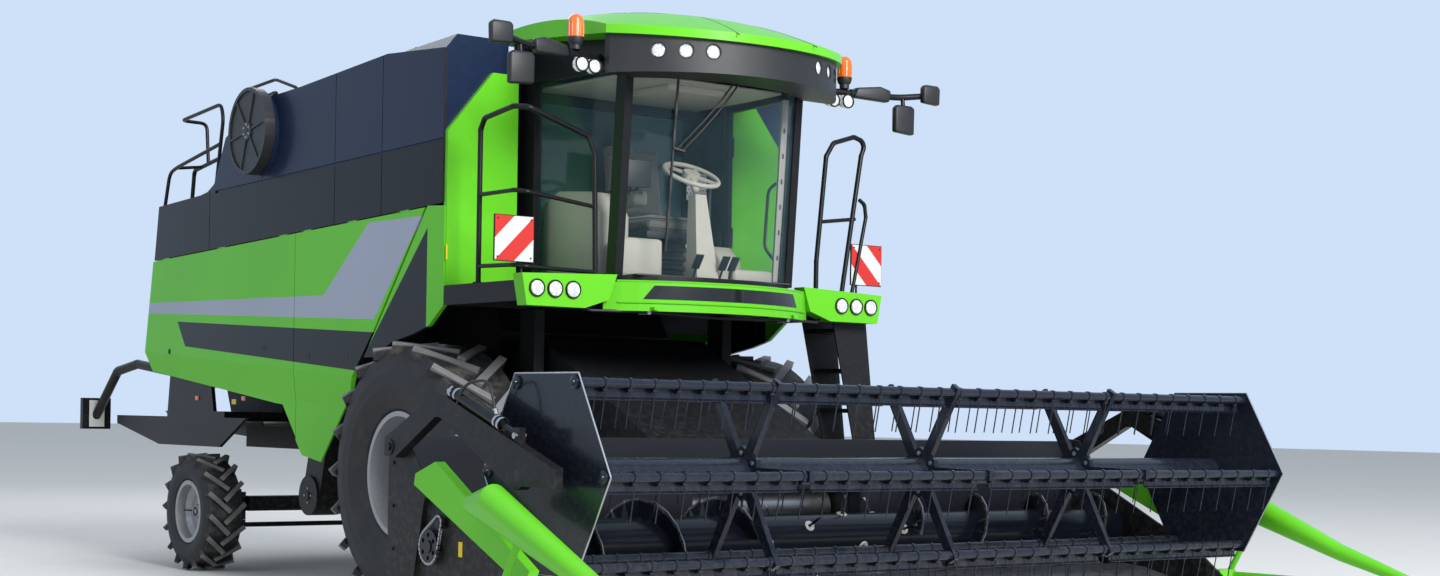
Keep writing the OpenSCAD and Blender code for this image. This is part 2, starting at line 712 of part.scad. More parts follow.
// Ladder up to the left platform: two cheeks and its steps, climbed from the machine's left
module ladder() {
    top = platform_z - platform_t - run_gap;
    foot = 620;
    steps = 5;
    y = [-1275, -945];
    cheek_t = 12;
    color("#232426") {
        for (yy = y) front_plate([[body_x - 320, top], [body_x - 10, top], [body_x + 170, foot],
            [body_x + 30, foot]], yy, cheek_t);
        for (i = [0 : steps - 1]) let (t = (i + 0.35) / steps, z = top - t * (top - foot))
            block([body_x - 300 + 340 * t, y[0] + 5, z], [body_x - 50 + 210 * t, y[1] + 5, z + 30]);
    }
}

// Handrails of the platforms and of the engine deck
module handrails() {
    x = body_x - 30;
    deck_x = -body_x + 270;
    y = platform_front_y + rail_d / 2 + 8;
    z = platform_z + run_gap;
    color("#17181a") {
        // Right guard, along the platform's side and round its front
        bent_tube([[-x, -780, z], [-x, -780, 3150], [-x, -830, 3220], [-x, -1180, 3260], [-x + 60, y, 3250],
            [-x + 510, y, 3110], [-x + 560, y, 3000], [-x + 580, y, z + 60], [-x + 580, y, z]], rail_d);
        bent_tube([[-x, -780, 2730], [-x, -1200, 2730], [-x + 50, y, 2720], [-x + 575, y, 2660]], rail_d * 0.8);
        bent_tube([[-x, -780, 2270], [-x, -1200, 2260], [-x + 50, y, 2250], [-x + 575, y, 2240]], rail_d * 0.8);
        // Left guard, ahead of the ladder
        translate([x - 1440, 0, 0]) {
            bent_tube([[1000, y, z], [1000, y, 2420], [1075, y, 3160], [1140, y, 3260], [1330, y, 3320],
                [1440, y, 3290], [1400, y, 3190], [1240, y, z + 60], [1240, y, z]], rail_d);
            bent_tube([[1390, y, 2880], [1440, y, 2850], [1455, y, 2760], [1335, y, z + 60], [1335, y, z]],
                rail_d * 0.8);
            rod([1040, y, 2700], [1350, y, 2740], rail_d * 0.8);
        }
        // Rails of the deck
        bent_tube([[deck_x, 4330, 3016.4], [deck_x, 4280, 3330], [deck_x, 3450, 3430], [deck_x, 3450, 3057]], rail_d);
        bent_tube([[deck_x, 3400, 3065.5], [deck_x, 3400, 3770], [deck_x, 3160, 3810], [deck_x, 2700, 3810],
            [deck_x, 2638, 3647]], rail_d);
    }
}

// Cab

// Plan outline of the cab, bulged at the front, drawn inwards by d
function cab_plan(d) = let (
    half = cab_front_x - d,
    r = (cab_front_x * cab_front_x + screen_bulge * screen_bulge) / (2 * screen_bulge),
    a = asin(half / (r - d)))
    concat([[cab_rear_x - d, cab_rear_y - d], [-cab_rear_x + d, cab_rear_y - d]],
        arc([0, cab_front_y - screen_bulge + r], r - d, 270 - a, 270 + a, 16));

module cab_slab(z0, z1, d) {
    translate([0, 0, z0]) linear_extrude(z1 - z0) polygon(cab_plan(d));
}

cab_rise = (cab_head_z - cab_floor_z) * tan(cab_lean);
side_turn = atan2(cab_rear_x - cab_front_x, cab_rear_y - cab_front_y);

// A point on the cab's side at a distance forward of the rear corner
function side_x(y) = cab_front_x + (cab_rear_x - cab_front_x) * (y - cab_front_y) / (cab_rear_y - cab_front_y);

module cab_frame() {
    color("#17181a") {
        cab_slab(platform_z + run_gap, cab_floor_z, 0);
        intersection() {
            difference() {
                translate([0, -cab_rise, 0]) cab_slab(cab_head_z, 3900, 0);
                translate([0, -cab_rise, 0]) cab_slab(cab_head_z - 1, 3901, post);
            }
            under_roof(run_gap);
        }
        both_sides() {
            // Front post, leaning forwards
            hull() {
                translate([cab_front_x - post, cab_front_y - post_lip, cab_floor_z - 10])
                    cube([post, post + post_lip, 1]);
                translate([cab_front_x - post, cab_front_y - cab_rise - post_lip, cab_head_z + 1])
                    cube([post, post + post_lip, 1]);
            }
            // Post behind the door and the closed rear corner
            translate([0, 0, cab_floor_z - 5]) linear_extrude(cab_head_z - cab_floor_z + 10)
                polygon([[side_x(door_post_y - 30), door_post_y - 30], [cab_rear_x, cab_rear_y],
                    [cab_rear_x - post, cab_rear_y], [side_x(door_post_y - 30) - post, door_post_y - 30]]);
        }
        door_hinge_mounts();
        difference() {
            block([-cab_rear_x + 20, cab_rear_y - 40, cab_floor_z - 5], [cab_rear_x - 20, cab_rear_y, cab_head_z + 30]);
            block([-620, cab_rear_y - 60, cab_floor_z + 520], [620, cab_rear_y + 20, cab_head_z - 90]);
        }
    }
}

// The roof's lower edge, which rises to the rear; drawn below it by d
module under_roof(d) {
    side_plate([[roof_front_y - 50, 3000], [roof_front_y - 50, roof_lip_z(roof_front_y - 50) - d],
        [roof_rear_y + 50, roof_lip_z(roof_rear_y + 50) - d], [roof_rear_y + 50, 3000]], -1100, 2200);
}

// Rounded front of the roof in plan, drawn in by d, with sides at half
module roof_plan(d, half, rear_y) {
    intersection() {
        union() {
            translate([0, roof_front_y + roof_plan_r]) circle(r = roof_plan_r - d, $fn = 128);
            translate([-half, roof_front_y + roof_plan_r]) square([half * 2, rear_y - roof_front_y - roof_plan_r]);
        }
        translate([-half, roof_front_y - 10]) square([half * 2, rear_y - roof_front_y + 10]);
    }
}

module cab_roof() {
    dome_r = 3500;
    dome_y = -620;
    color("#6fd62f") difference() {
        intersection() {
            translate([0, 0, roof_under_z]) linear_extrude(600) roof_plan(0, roof_half_w, roof_rear_y);
            translate([0, dome_y, roof_top_z - dome_r]) sphere(r = dome_r, $fn = 256);
        }
        under_roof(0);
    }
}

// Black visor under the roof's front edge, with pockets for its lamps
visor_z = 3490;
visor_half = 940;
module roof_visor() {
    color("#0d0e10") difference() {
        intersection() {
            translate([0, 0, visor_z]) linear_extrude(400) difference() {
                roof_plan(35, visor_half, -1450);
                translate([0, cab_front_y + 745]) circle(r = 1160, $fn = 128);
            }
            under_roof(run_gap);
        }
        for (a = visor_lamps) on_visor(a, 30) rotate([0, 90, 0]) cylinder(h = 60, d = visor_lamp_d + run_gap * 2, $fn = 32);
    }
}
// Lamps of the visor, as angles about the middle of its front's arc
visor_lamps = [for (s = [-1, 1], a = [23, 32, 41]) -90 + s * a];
visor_lamp_d = 84;
// Draws its children with X out of the visor's face, from d inside it
module on_visor(a, d) {
    translate([0, roof_front_y + roof_plan_r, 3625]) rotate([0, 0, a]) translate([roof_plan_r - 35 - d, 0, 0])
        children();
}

module windscreen() {
    r = (cab_front_x * cab_front_x + screen_bulge * screen_bulge) / (2 * screen_bulge);
    h = (cab_head_z - cab_floor_z) / cos(cab_lean);
    color("#9fb4b8", 0.5) translate([0, cab_front_y, cab_floor_z]) rotate([cab_lean, 0, 0])
        intersection() {
            translate([0, r - screen_bulge + 10, 0]) difference() {
                cylinder(h = h, r = r - 4, $fn = 128);
                translate([0, 0, -1]) cylinder(h = h + 2, r = r - 4 - glass_t, $fn = 128);
            }
            rotate([-cab_lean, 0, 0])
                block([-cab_front_x + post + run_gap, -r, run_gap],
                    [cab_front_x - post - run_gap, 0, cab_head_z - cab_floor_z - run_gap]);
        }
}

// Draws its children with Y along the cab's left side from the front post, and X outwards
module on_cab_side() {
    translate([cab_front_x - 30, cab_front_y, 0]) rotate([0, 0, -side_turn]) children();
}
// Where the post behind the door lies along the side
door_end = (door_post_y - 30 - cab_front_y) / cos(side_turn) - 22;
door_start = post + 14;
door_frame = 45;

// Outline of the side's opening, drawn in by d
function door_outline(d) = [[door_start + d, cab_floor_z + 6 + d], [door_start + d - cab_rise, cab_head_z - 6 - d],
    [door_end - d, cab_head_z - 6 - d], [door_end - d, cab_floor_z + 6 + d]];

module cab_glass() {
    color("#9fb4b8", 0.5) {
        mirror([1, 0, 0]) on_cab_side() side_plate(door_outline(-5), -glass_t / 2, glass_t);
        block([-620 + run_gap, cab_rear_y - 26, cab_floor_z + 520 + run_gap],
            [620 - run_gap, cab_rear_y - 18, cab_head_z - 90 - run_gap]);
    }
}

// Left door: a frame round its pane, with its handle and the barrels of its hinge
door_hinge_x = 40;
door_hinges = [350, 1000];
module cab_door() {
    color("#17181a") on_cab_side() {
        difference() {
            side_plate(door_outline(0), -15, 30);
            side_plate(door_outline(door_frame), -20, 40);
        }
        block([15, door_start + 20, cab_floor_z + 320], [50, door_start + 50, cab_floor_z + 520]);
        for (z = door_hinges) {
            translate([door_hinge_x, door_end, cab_floor_z + z]) difference() {
                cylinder(h = 80, r = 14, $fn = 32);
                translate([0, 0, -1]) cylinder(h = 82, r = 6 + run_gap, $fn = 32);
            }
            block([10, door_end - 40, cab_floor_z + z], [door_hinge_x - 9, door_end - 2, cab_floor_z + z + 80]);
        }
    }
}
module cab_door_glass() {
    color("#9fb4b8", 0.5) on_cab_side()
        side_plate(door_outline(door_frame + run_gap), -glass_t / 2, glass_t);
}
// Pins of the door's hinge, on brackets from the post behind the door
module door_hinge_mounts() {
    on_cab_side() for (z = door_hinges) {
        translate([door_hinge_x, door_end, cab_floor_z + z - 30]) cylinder(h = 140, r = 6, $fn = 32);
        for (dz = [-31, 81]) translate([0, 0, cab_floor_z + z + dz]) {
            translate([door_hinge_x, door_end, 0]) cylinder(h = 30, r = 14, $fn = 32);
            block([15, door_end + 2, 0], [door_hinge_x + 10, door_end + 60, 30]);
        }
    }
}

module cab_seat() {
    color("#8d8b84") {
        block([-260, -1000, cab_floor_z + 330], [260, -480, cab_floor_z + 450]);
        translate([-250, -520, cab_floor_z + 440]) rotate([-8, 0, 0]) cube([500, 110, 560]);
        block([-180, -900, cab_floor_z + 0.3], [180, -540, cab_floor_z + 330]);
        block([-430, -1080, cab_floor_z + 480], [-300, -560, cab_floor_z + 600]);
        block([-430, -700, cab_floor_z + 0.3], [-300, -560, cab_floor_z + 480]);
        block([-310, -700, cab_floor_z + 300], [-170, -560, cab_floor_z + 340]);
    }
}

module steering_column() {
    wheel_c = [0, -1130, cab_floor_z + 720];
    tilt = 28;
    color("#6d6b66") {
        hull() {
            block([-90, -1330, cab_floor_z + 0.3], [90, -1200, cab_floor_z + 20]);
            translate([-45, -1240, cab_floor_z + 560]) cube([90, 80, 20]);
        }
        rod([0, -1200, cab_floor_z + 570], wheel_c, 50);
        translate(wheel_c) rotate([tilt, 0, 0]) {
            rotate_extrude($fn = 64) translate([190, 0]) circle(d = 32, $fn = 20);
            cylinder(h = 40, r = 60, center = true, $fn = 48);
            for (i = [0 : 3]) rotate([0, 0, 45 + i * 90]) translate([0, -12, -8]) cube([185, 24, 16]);
        }
    }
}

// Green bumper under the windscreen, with a lamp pod at each end
bumper_z = [1995, 2180];
bumper_r = 1300;
bumper_front_y = -1660;
pod_face_y = -1400;
function bumper_arc(d) = let (a = asin(850 / bumper_r))
    arc([0, bumper_front_y + bumper_r], bumper_r - d, 270 - a, 270 + a, 16);
module front_bumper() {
    inner = bumper_arc(45);
    color("#6fd62f") {
        translate([0, 0, bumper_z[0]]) linear_extrude(bumper_z[1] - bumper_z[0])
            polygon(concat(bumper_arc(0), [for (i = [len(inner) - 1 : -1 : 0]) inner[i]]));
        both_sides() {
            front_plate([[780, 2225], [body_x + 27, 2199], [body_x - 10, 2000], [1024, 2000], [840, 2060]],
                pod_face_y, platform_front_y - 0.5 - pod_face_y);
        }
        for (x = [-600, 560]) block([x, -1560, 2000], [x + 40, platform_front_y - 0.5, 2020]);
    }
}

// Round lamps on the bumper pods, in the visor and on the roof's arms
module lamp(p, d, t) {
    translate(p) rotate([90, 0, 0]) cylinder(h = t, d = d, $fn = 32);
}
module work_lights() {
    lamp_z = 3530;
    color("#e8ecee") for (a = visor_lamps)
        on_visor(a, 30 - run_gap) rotate([0, 90, 0]) cylinder(h = 18, d = visor_lamp_d, $fn = 32);
    color("#e8ecee") both_sides() {
        for (i = [0 : 2]) lamp([1120 + i * 135, pod_face_y, 2110], 92, 12);
        for (x = [1000, 1110]) {
            lamp([x, arm_y(x) - 20, lamp_z], 90, 40);
            lamp([x, arm_y(x) + 10, lamp_z], 60, 32);
            block([x - 10, arm_y(x) - 10, lamp_z + 20], [x + 10, arm_y(x) + 10, arm_z - arm_d / 2 - run_gap]);
        }
    }
}

// Arms out from the cab's head, with two mirrors on each, and the beacons on them
arm_z = 3600;
arm_d = 44;
function arm_y(x) = -1350 - (x - 900) * 120 / 660;
module beacons() {
    x = 1123;
    d = 100;
    stem = 78;
    color("#e8871e") both_sides()
        translate([x, arm_y(x), arm_z + arm_d / 2 + run_gap]) {
            cylinder(h = stem, d = 40, $fn = 32);
            translate([0, 0, stem]) cylinder(h = d, d = d, $fn = 48);
            translate([0, 0, stem + d]) sphere(d = d, $fn = 48);
        }
}

module mirrors() {
    color("#17181a") both_sides() {
        bent_tube([[cab_front_x + 17.3, -1240, arm_z], [790, -1240, arm_z], [900, arm_y(900), arm_z],
            [1560, arm_y(1560), arm_z], [1760, -1540, arm_z + 25]], arm_d);
        rod([1590, -1481, arm_z], [1590, -1490, 3540], 30);
        block([1500, -1520, 3340], [1680, -1465, 3545]);
        block([1700, -1590, 3560], [1860, -1535, 3700]);
    }
}

// Crop elevator and header

// Outline of the elevator's trunk, grown by d
function trunk(d) = [[feeder_front_y, feeder_mouth[0] - d], [feeder_front_y, feeder_mouth[1] + d],
    [feeder_pivot_y - 40, feeder_pivot_z + feeder_drum_r + d], [feeder_pivot_y - 40, feeder_pivot_z - feeder_drum_r - d]];
feeder_rise = atan2(feeder_pivot_z - feeder_drum_r - feeder_mouth[0], feeder_pivot_y - 40 - feeder_front_y);

module feeder_house() {
    w = feeder_half + feeder_wall;
    color("#232426") {
        difference() {
            union() {
                side_plate(trunk(feeder_wall), -w, w * 2);
                axle_ring(-w, feeder_pivot_y, feeder_pivot_z, w * 2, feeder_drum_r + feeder_wall);
            }
            side_plate(trunk(0), -feeder_half, feeder_half * 2);
            block([-feeder_half, feeder_front_y - 10, feeder_mouth[0]], [feeder_half, feeder_front_y + 10, feeder_mouth[1]]);
            axle_ring(-feeder_half, feeder_pivot_y, feeder_pivot_z, feeder_half * 2, feeder_drum_r);
            block([-feeder_half, feeder_pivot_y, feeder_pivot_z - 180], [feeder_half, feeder_pivot_y + 500, feeder_pivot_z + 150]);
        }
        // Pivot stubs that turn in the frame's cheeks
        both_sides() axle_ring(w - 2, feeder_pivot_y, feeder_pivot_z, cheek_x + 34 - w, 60, 0, 64);
        // Front frame that hooks under the header's beam
        difference() {
            block([-780, header_back_y + header_beam + run_gap, 310], [780, feeder_front_y + 45, header_beam_z - 4]);
            block([-feeder_half, feeder_front_y - 20, feeder_mouth[0]], [feeder_half, feeder_front_y + 60, feeder_mouth[1]]);
        }
    }
}

// Front drum, chains and slats inside the elevator, as one fixed loop
module feeder_conveyor() {
    drum = [-1700, 730];
    run = 1300;
    half_gap = 165;
    slats = 7;
    color("#4a4c4f") translate([0, drum[0], drum[1]]) rotate([feeder_rise, 0, 0]) {
        axle_ring(-feeder_half + run_gap, 0, 0, (feeder_half - run_gap) * 2, 45, 0, 48);
        axle_ring(-feeder_half + 20, 0, 0, feeder_half * 2 - 40, half_gap - 20, 0, 64);
        for (side = [-1, 1], i = [0 : slats - 1])
            translate([-620, i * run / slats - 15, side * half_gap - 15]) cube([1240, 30, 30]);
        for (x = [-620, -220, 184, 584], side = [-1, 1])
            translate([x, 0, side * (half_gap - 15) - 10]) cube([36, run, 20]);
    }
}

// Floor and back wall of the header, as one bent sheet, drawn on its upper side by d
function trough_line(d) = concat([[header_back_y - d, header_beam_z + header_beam], [header_back_y - d, auger_z + 40]],
    arc([auger_y, auger_z], auger_d / 2 + auger_gap + sheet_t - d, 0, -115, 12),
    [[-2800, 322 + d], [trough_end_y, 232 + d]]);
module header_trough() {
    line_in = trough_line(sheet_t);
    line_out = trough_line(0);
    n = len(line_out);
    in_x = header_x - sheet_t;
    beam_y = header_back_y + header_beam;
    mouth_y = -2450;
    color("#232426") {
        difference() {
            union() {
                side_plate(concat(line_out, [for (i = [n - 1 : -1 : 0]) line_in[i]]), -in_x, in_x * 2);
                block([-in_x, header_back_y, header_beam_z], [in_x, beam_y, header_beam_z + header_beam]);
                block([-in_x, header_back_y, 230], [in_x, beam_y, 316]);
                both_sides() {
                    for (x = [700, 1700, in_x - 90])
                        block([x, header_back_y - 5, 300], [x + 80, beam_y, header_beam_z + 5]);
                    for (x = [900, 2300])
                        side_plate([[header_back_y + 10, 235], [header_back_y + 10, 300], [-2500, 315],
                            [trough_end_y + 100, 245], [trough_end_y + 100, 185], [-2700, 185]], x, 120);
                }
                block([-in_x, trough_end_y + 22, 190], [in_x, trough_end_y + 120, 246]);
            }
            block([-feeder_half, mouth_y, feeder_mouth[0] - 20], [feeder_half, beam_y + 1, feeder_mouth[1]]);
        }
        // Flat floor that leads into the elevator
        block([-feeder_half - 5, mouth_y - 20, 318], [feeder_half + 5, beam_y, feeder_mouth[0] - 22]);
    }
}

// Side sheets that close the header's ends and carry the reel's arms
module header_sides() {
    sheet = [[-1980, 240], [-1980, 1120], [-2060, 1200], [-2180, 1190], [-2441, 880], [-2900, 655],
        [-3222, 510], [-3500, 300], [-3440, 190], [-2700, 180]];
    color("#232426") both_sides() {
        difference() {
            side_plate(sheet, header_x - sheet_t + run_gap, sheet_t - run_gap);
            axle_ring(header_x - sheet_t - 10, auger_y, auger_z, sheet_t + 20, auger_shaft_r + run_gap, 0, 48);
        }
        axle_ring(header_x - 1, arm_pivot[0], arm_pivot[1], arm_t + 10, 30 - run_gap, 0, 48);
    }
    // Guard and idler of the auger's drive, on the right
    color("#303134") mirror([1, 0, 0]) {
        side_plate([[-2300, 400], [-2322, 400], [-2438, 860], [-2416, 860]], header_x - 1, 30);
        axle_ring(header_x - 1, -2600, 735, 22, 20, 0, 32);
        axle_ring(header_x + 20, -2600, 735, 14, 42, 0, 48);
    }
}

auger_shaft_r = 35;
// Green covers that part the crop at each end of the header
module crop_dividers() {
    nose_x = header_x + 160;
    color("#6fd62f") both_sides() {
        // Cover over the side sheet's top edge
        side_plate([[-2376, 930], [-2390, 990], [-2600, 1060], [-3552, 540], [-3500, 450]],
            header_x + run_gap, 60);
        // Long tapered nose ahead of the reel's end
        hull() {
            translate([nose_x, -3140, 860]) rotate([90, 0, 0]) cylinder(h = 10, d = 90, $fn = 32);
            translate([nose_x, -3360, 885]) rotate([90, 0, 0]) cylinder(h = 10, d = 170, $fn = 32);
            translate([nose_x, -4260, 525]) rotate([90, 0, 0]) cylinder(h = 10, d = 110, $fn = 32);
        }
        hull() {
            translate([nose_x, -4260, 525]) rotate([90, 0, 0]) cylinder(h = 10, d = 110, $fn = 32);
            translate([nose_x, divider_tip_y + 130, 330]) rotate([90, 0, 0]) cylinder(h = 10, d = 50, $fn = 32);
            translate([nose_x, divider_tip_y + 10, 290]) rotate([90, 0, 0]) cylinder(h = 10, d = 16, $fn = 32);
        }
        rod([nose_x, -3380, 320], [nose_x, divider_tip_y + 250, 330], 50);
        rod([nose_x, -3380, 320], [nose_x, -3640, 760], 40);
        block([header_x + run_gap, -3440, 280], [nose_x, -3360, 360]);
    }
}

// Knife beam with its pointed guards
module cutterbar() {
    n = floor((header_w - 2 * sheet_t - 60) / guard_pitch / 2) * 2;
    color("#4a4c4f") {
        block([-header_x + sheet_t, trough_end_y - 60, 222], [header_x - sheet_t, trough_end_y + 18, 231.7]);
        for (i = [0 : n])
            translate([(i - n / 2) * guard_pitch, trough_end_y - 50, 204])
                linear_extrude(28) polygon([[-16, 0], [-14, -70], [-3, -140], [3, -140], [14, -70], [16, 0]]);
    }
}

// A screw flight about an axle along X, from x0 to x1
flight_turns = 3.5;
flight_steps = 16;
module flight(x0, x1, turns, r_in, r_out, t) {
    n = floor(turns * flight_steps);
    ring = [[r_in, -t / 2], [r_out, -t / 2], [r_out, t / 2], [r_in, t / 2]];
    points = [for (i = [0 : n], c = ring) let (a = i * 360 / flight_steps)
        [x0 + (x1 - x0) * i / n + c[1], c[0] * cos(a), c[0] * sin(a)]];
    sides = [for (i = [0 : n - 1], k = [0 : 3]) let (a = i * 4 + k, b = i * 4 + (k + 1) % 4)
        each [[a, b, b + 4], [a, b + 4, a + 4]]];
    caps = [[3, 2, 1, 0], [n * 4, n * 4 + 1, n * 4 + 2, n * 4 + 3]];
    polyhedron(points, concat(sides, caps));
}
sprocket_r = 95;
module header_auger() {
    half = header_x - sheet_t - 15;
    color("#1b2130") {
        axle_ring(-half, auger_y, auger_z, half * 2, auger_tube_d / 2);
        axle_ring(-header_x, auger_y, auger_z, header_w, auger_shaft_r, 0, 48);
        for (s = [-1, 1]) translate([0, auger_y, auger_z])
            flight(s * (half - 40), s * (feeder_half - 40), flight_turns, auger_tube_d / 2 - 12, auger_d / 2, 8);
        // Fingers of the middle, which reach out of the tube
        for (i = [0 : 11])
            translate([-605 + i * 110, auger_y, auger_z]) rotate([i * 105, 0, 0])
                translate([0, 0, auger_tube_d / 2 - 20]) cylinder(h = auger_d / 2 - auger_tube_d / 2 + 26, d = 16, $fn = 16);
        // Drive sprocket on the right end of the shaft
        axle_ring(-header_x - 45, auger_y, auger_z, 46, auger_shaft_r, 0, 48);
        difference() {
            axle_ring(-header_x - 38, auger_y, auger_z, 12, sprocket_r);
            for (i = [0 : 5]) translate([0, auger_y, auger_z]) rotate([i * 60, 0, 0])
                axle_ring(-header_x - 40, 0, 62, 16, 13, 0, 24);
        }
    }
}

// Two bent arms that carry the reel
module reel_arms() {
    color("#303134") both_sides() {
        difference() {
            union() {
                side_plate([[-2050, 1080], [-2050, 1180], [-2590, 1420], [-2680, 1420], [-3760, 1060],
                    [-3760, 960], [-3340, 960], [-2650, 1300], [-2600, 1300], [-2160, 1070]],
                    arm_x, arm_t);
                axle_ring(arm_x, reel_y, reel_z, arm_t, 80, 0, 48);
                // Cylinder along the arm's upper edge, between two lugs
                for (p = [[-2740, 1370], [-3400, 1150]])
                    block([arm_x + 12, p[0] - 30, p[1]], [arm_x + arm_t - 12, p[0] + 30, p[1] + 105]);
                rod([arm_x + arm_t / 2, -2745, 1437], [arm_x + arm_t / 2, -3230, 1272], 64);
                rod([arm_x + arm_t / 2, -3225, 1273.7], [arm_x + arm_t / 2, -3400, 1214.2], 30);
            }
            axle_ring(arm_x - 10, reel_y, reel_z, arm_t + 20, 30, 0, 48);
            axle_ring(arm_x - 10, arm_pivot[0], arm_pivot[1], arm_t + 20, 30, 0, 48);
        }
    }
}

// Draws its children with Z along each arm of the reel in turn
module on_reel_arms(x) {
    for (i = [0 : 5]) translate([x, reel_y, reel_z]) rotate([i * 60 + 30, 0, 0]) children();
}
// Middle tube, end plates and spiders of the reel, without its tine bars
module reel_hub() {
    plate_t = 8;
    spider_t = 30;
    shaft_r = 30 - run_gap;
    color("#1b2130") {
        axle_ring(-reel_half, reel_y, reel_z, reel_half * 2, reel_tube_d / 2);
        both_sides() axle_ring(reel_half - 1, reel_y, reel_z, arm_x + arm_t - reel_half, shaft_r, 0, 48);
        for (x = spider_x) difference() {
            union() {
                translate([x - spider_t / 2, reel_y, reel_z]) rotate([0, 90, 0])
                    cylinder(h = spider_t, r = 150, $fn = 6);
                on_reel_arms(x) translate([-spider_t / 2, -30, 90]) cube([spider_t, 60, reel_r - 50]);
            }
            on_reel_arms(x) translate([0, 0, reel_r])
                axle_ring(-spider_t, 0, 0, spider_t * 2, tine_bar_d / 2 + run_gap, 0, 32);
        }
        both_sides() difference() {
            translate([reel_half - plate_t, reel_y, reel_z]) rotate([0, 90, 0]) rotate([0, 0, 90])
                cylinder(h = plate_t, r = reel_r + 55, $fn = 6);
            on_reel_arms(reel_half) translate([0, 0, reel_r])
                axle_ring(-20, 0, 0, 40, tine_bar_d / 2 + run_gap, 0, 32);
        }
    }
}

// One tine bar with its hanging steel tines
module tine_bar(k) {
    a = k * 60;
    y = reel_y + reel_r * cos(a);
    z = reel_z + reel_r * sin(a);
    n = floor((reel_half - 60) / tine_pitch);
    color("#303134") {
        axle_ring(-reel_half, y, z, reel_half * 2, tine_bar_d / 2, 0, 32);
        for (i = [-n : n])
            rod([i * tine_pitch + 40, y - 15, z - 10], [i * tine_pitch + 40, y + 30, z - 232], 8, 6);
    }
}
module tine_bar_1() { tine_bar(0); }
module tine_bar_2() { tine_bar(1); }
module tine_bar_3() { tine_bar(2); }
module tine_bar_4() { tine_bar(3); }
module tine_bar_5() { tine_bar(4); }
module tine_bar_6() { tine_bar(5); }

// Side panels, hinged along their top outer edges
function panel_top(y) = [y, belt_z(y) - panel_gap];
front_outline = [panel_top(-125), panel_top(panel_split_y - panel_gap / 2), [panel_split_y - panel_gap / 2, 1100],
    [1693, 991], [1386, 948], [911, 1463], [879, 1562], [577, 1873]];
rear_outline = [panel_top(panel_split_y + panel_gap / 2), panel_top(4474), [4625, 1792], [4491, 1630],
    [2143, 1373], [2023, 1364], [panel_split_y + panel_gap / 2, 1130]];
// Places of the hinge barrels along the belt line, for the front and the rear panel
front_hinges = [150, 900, 1600];
rear_hinges = [2000, 3100, 4200];
belt_slope = atan((belt_rear[1] - belt_front[1]) / (belt_rear[0] - belt_front[0]));
panel_pin_r = 2;
// The fold near the panels' lower edge: its line, its depth and its height
fold_line = [[879, 1568], [4625, 1799]];
fold_slope = atan((fold_line[1][1] - fold_line[0][1]) / (fold_line[1][0] - fold_line[0][0]));
fold_in = 26;
fold_h = 230;

// The line that the panels turn about, in the gap under the belt line
module on_belt(y) {
    translate([body_x, y, belt_z(y) - panel_gap / 2]) rotate([belt_slope, 0, 0]) children();
}

module side_panel(outline, hinges) {
    r = panel_gap / 2 - run_gap;
    color("#6fd62f") {
        difference() {
            side_plate(outline, body_x - panel_t, panel_t);
            // The lower edge folds in below a line that rises to the rear
            translate([body_x, fold_line[0][0], fold_line[0][1]]) rotate([fold_slope, 0, 0])
                front_plate([[20, 20], [0, 0], [-fold_in, -fold_h], [-fold_in, -900], [20, -900]], -2000, 6500);
        }
        for (y = hinges) on_belt(y) {
            hinge_barrel(0, hinge_len, r, panel_pin_r + run_gap);
            difference() {
                translate([-12, -hinge_len / 2, -panel_gap]) cube([12, hinge_len, panel_gap]);
                hinge_barrel(0, hinge_len + 2, panel_pin_r + run_gap, 0);
            }
        }
    }
}
module panel_front_left() { side_panel(front_outline, front_hinges); }
module panel_rear_left() { side_panel(rear_outline, rear_hinges); }
module panel_front_right() { mirror([1, 0, 0]) panel_front_left(); }
module panel_rear_right() { mirror([1, 0, 0]) panel_rear_left(); }

// Fixed barrels and pins of the panels' hinges, for the hinges in a list
module panel_hinge_mounts(hinges) {
    both_sides() for (y = hinges) on_belt(y) {
        for (e = [-1, 1]) translate([0, e * (hinge_len / 2 + 21), 0]) {
            hinge_barrel(0, 40, panel_gap / 2 - run_gap, 0);
            translate([-12, -20, 0]) cube([12, 40, panel_gap]);
        }
        hinge_barrel(0, hinge_len + 60, panel_pin_r, 0);
    }
}

// Unloading tube, folded back along the left side on its turret
spout_x = 168;
spout = [[unload_end_y - 60, unload_z - 180], [unload_end_y - 60, unload_z + 180], [unload_end_y + 60, unload_z + 180],
    [unload_end_y + 190, unload_z + 100], [unload_end_y + 230, unload_z - 330], [unload_end_y + 30, unload_z - 330]];
module unloading_auger() {
    color("#1b2130") {
        translate([unload_x, unload_y, lip_z + 20]) cylinder(h = unload_z - lip_z - 20, d = unload_d, $fn = 64);
        translate([unload_x, unload_y, unload_z]) sphere(d = unload_d, $fn = 64);
        translate([unload_x, unload_y, unload_z]) rotate([-90, 0, 0]) cylinder(h = unload_end_y - unload_y, d = unload_d, $fn = 64);
        // Spout at the far end, open downwards
        difference() {
            side_plate(spout, unload_x - spout_x, spout_x * 2);
            side_plate([[unload_end_y + 10, 2900], [unload_end_y + 10, unload_z + 120], [unload_end_y + 175, unload_z + 90],
                [unload_end_y + 225, 2900]], unload_x - spout_x + 8, spout_x * 2 - 16);
        }
    }
}

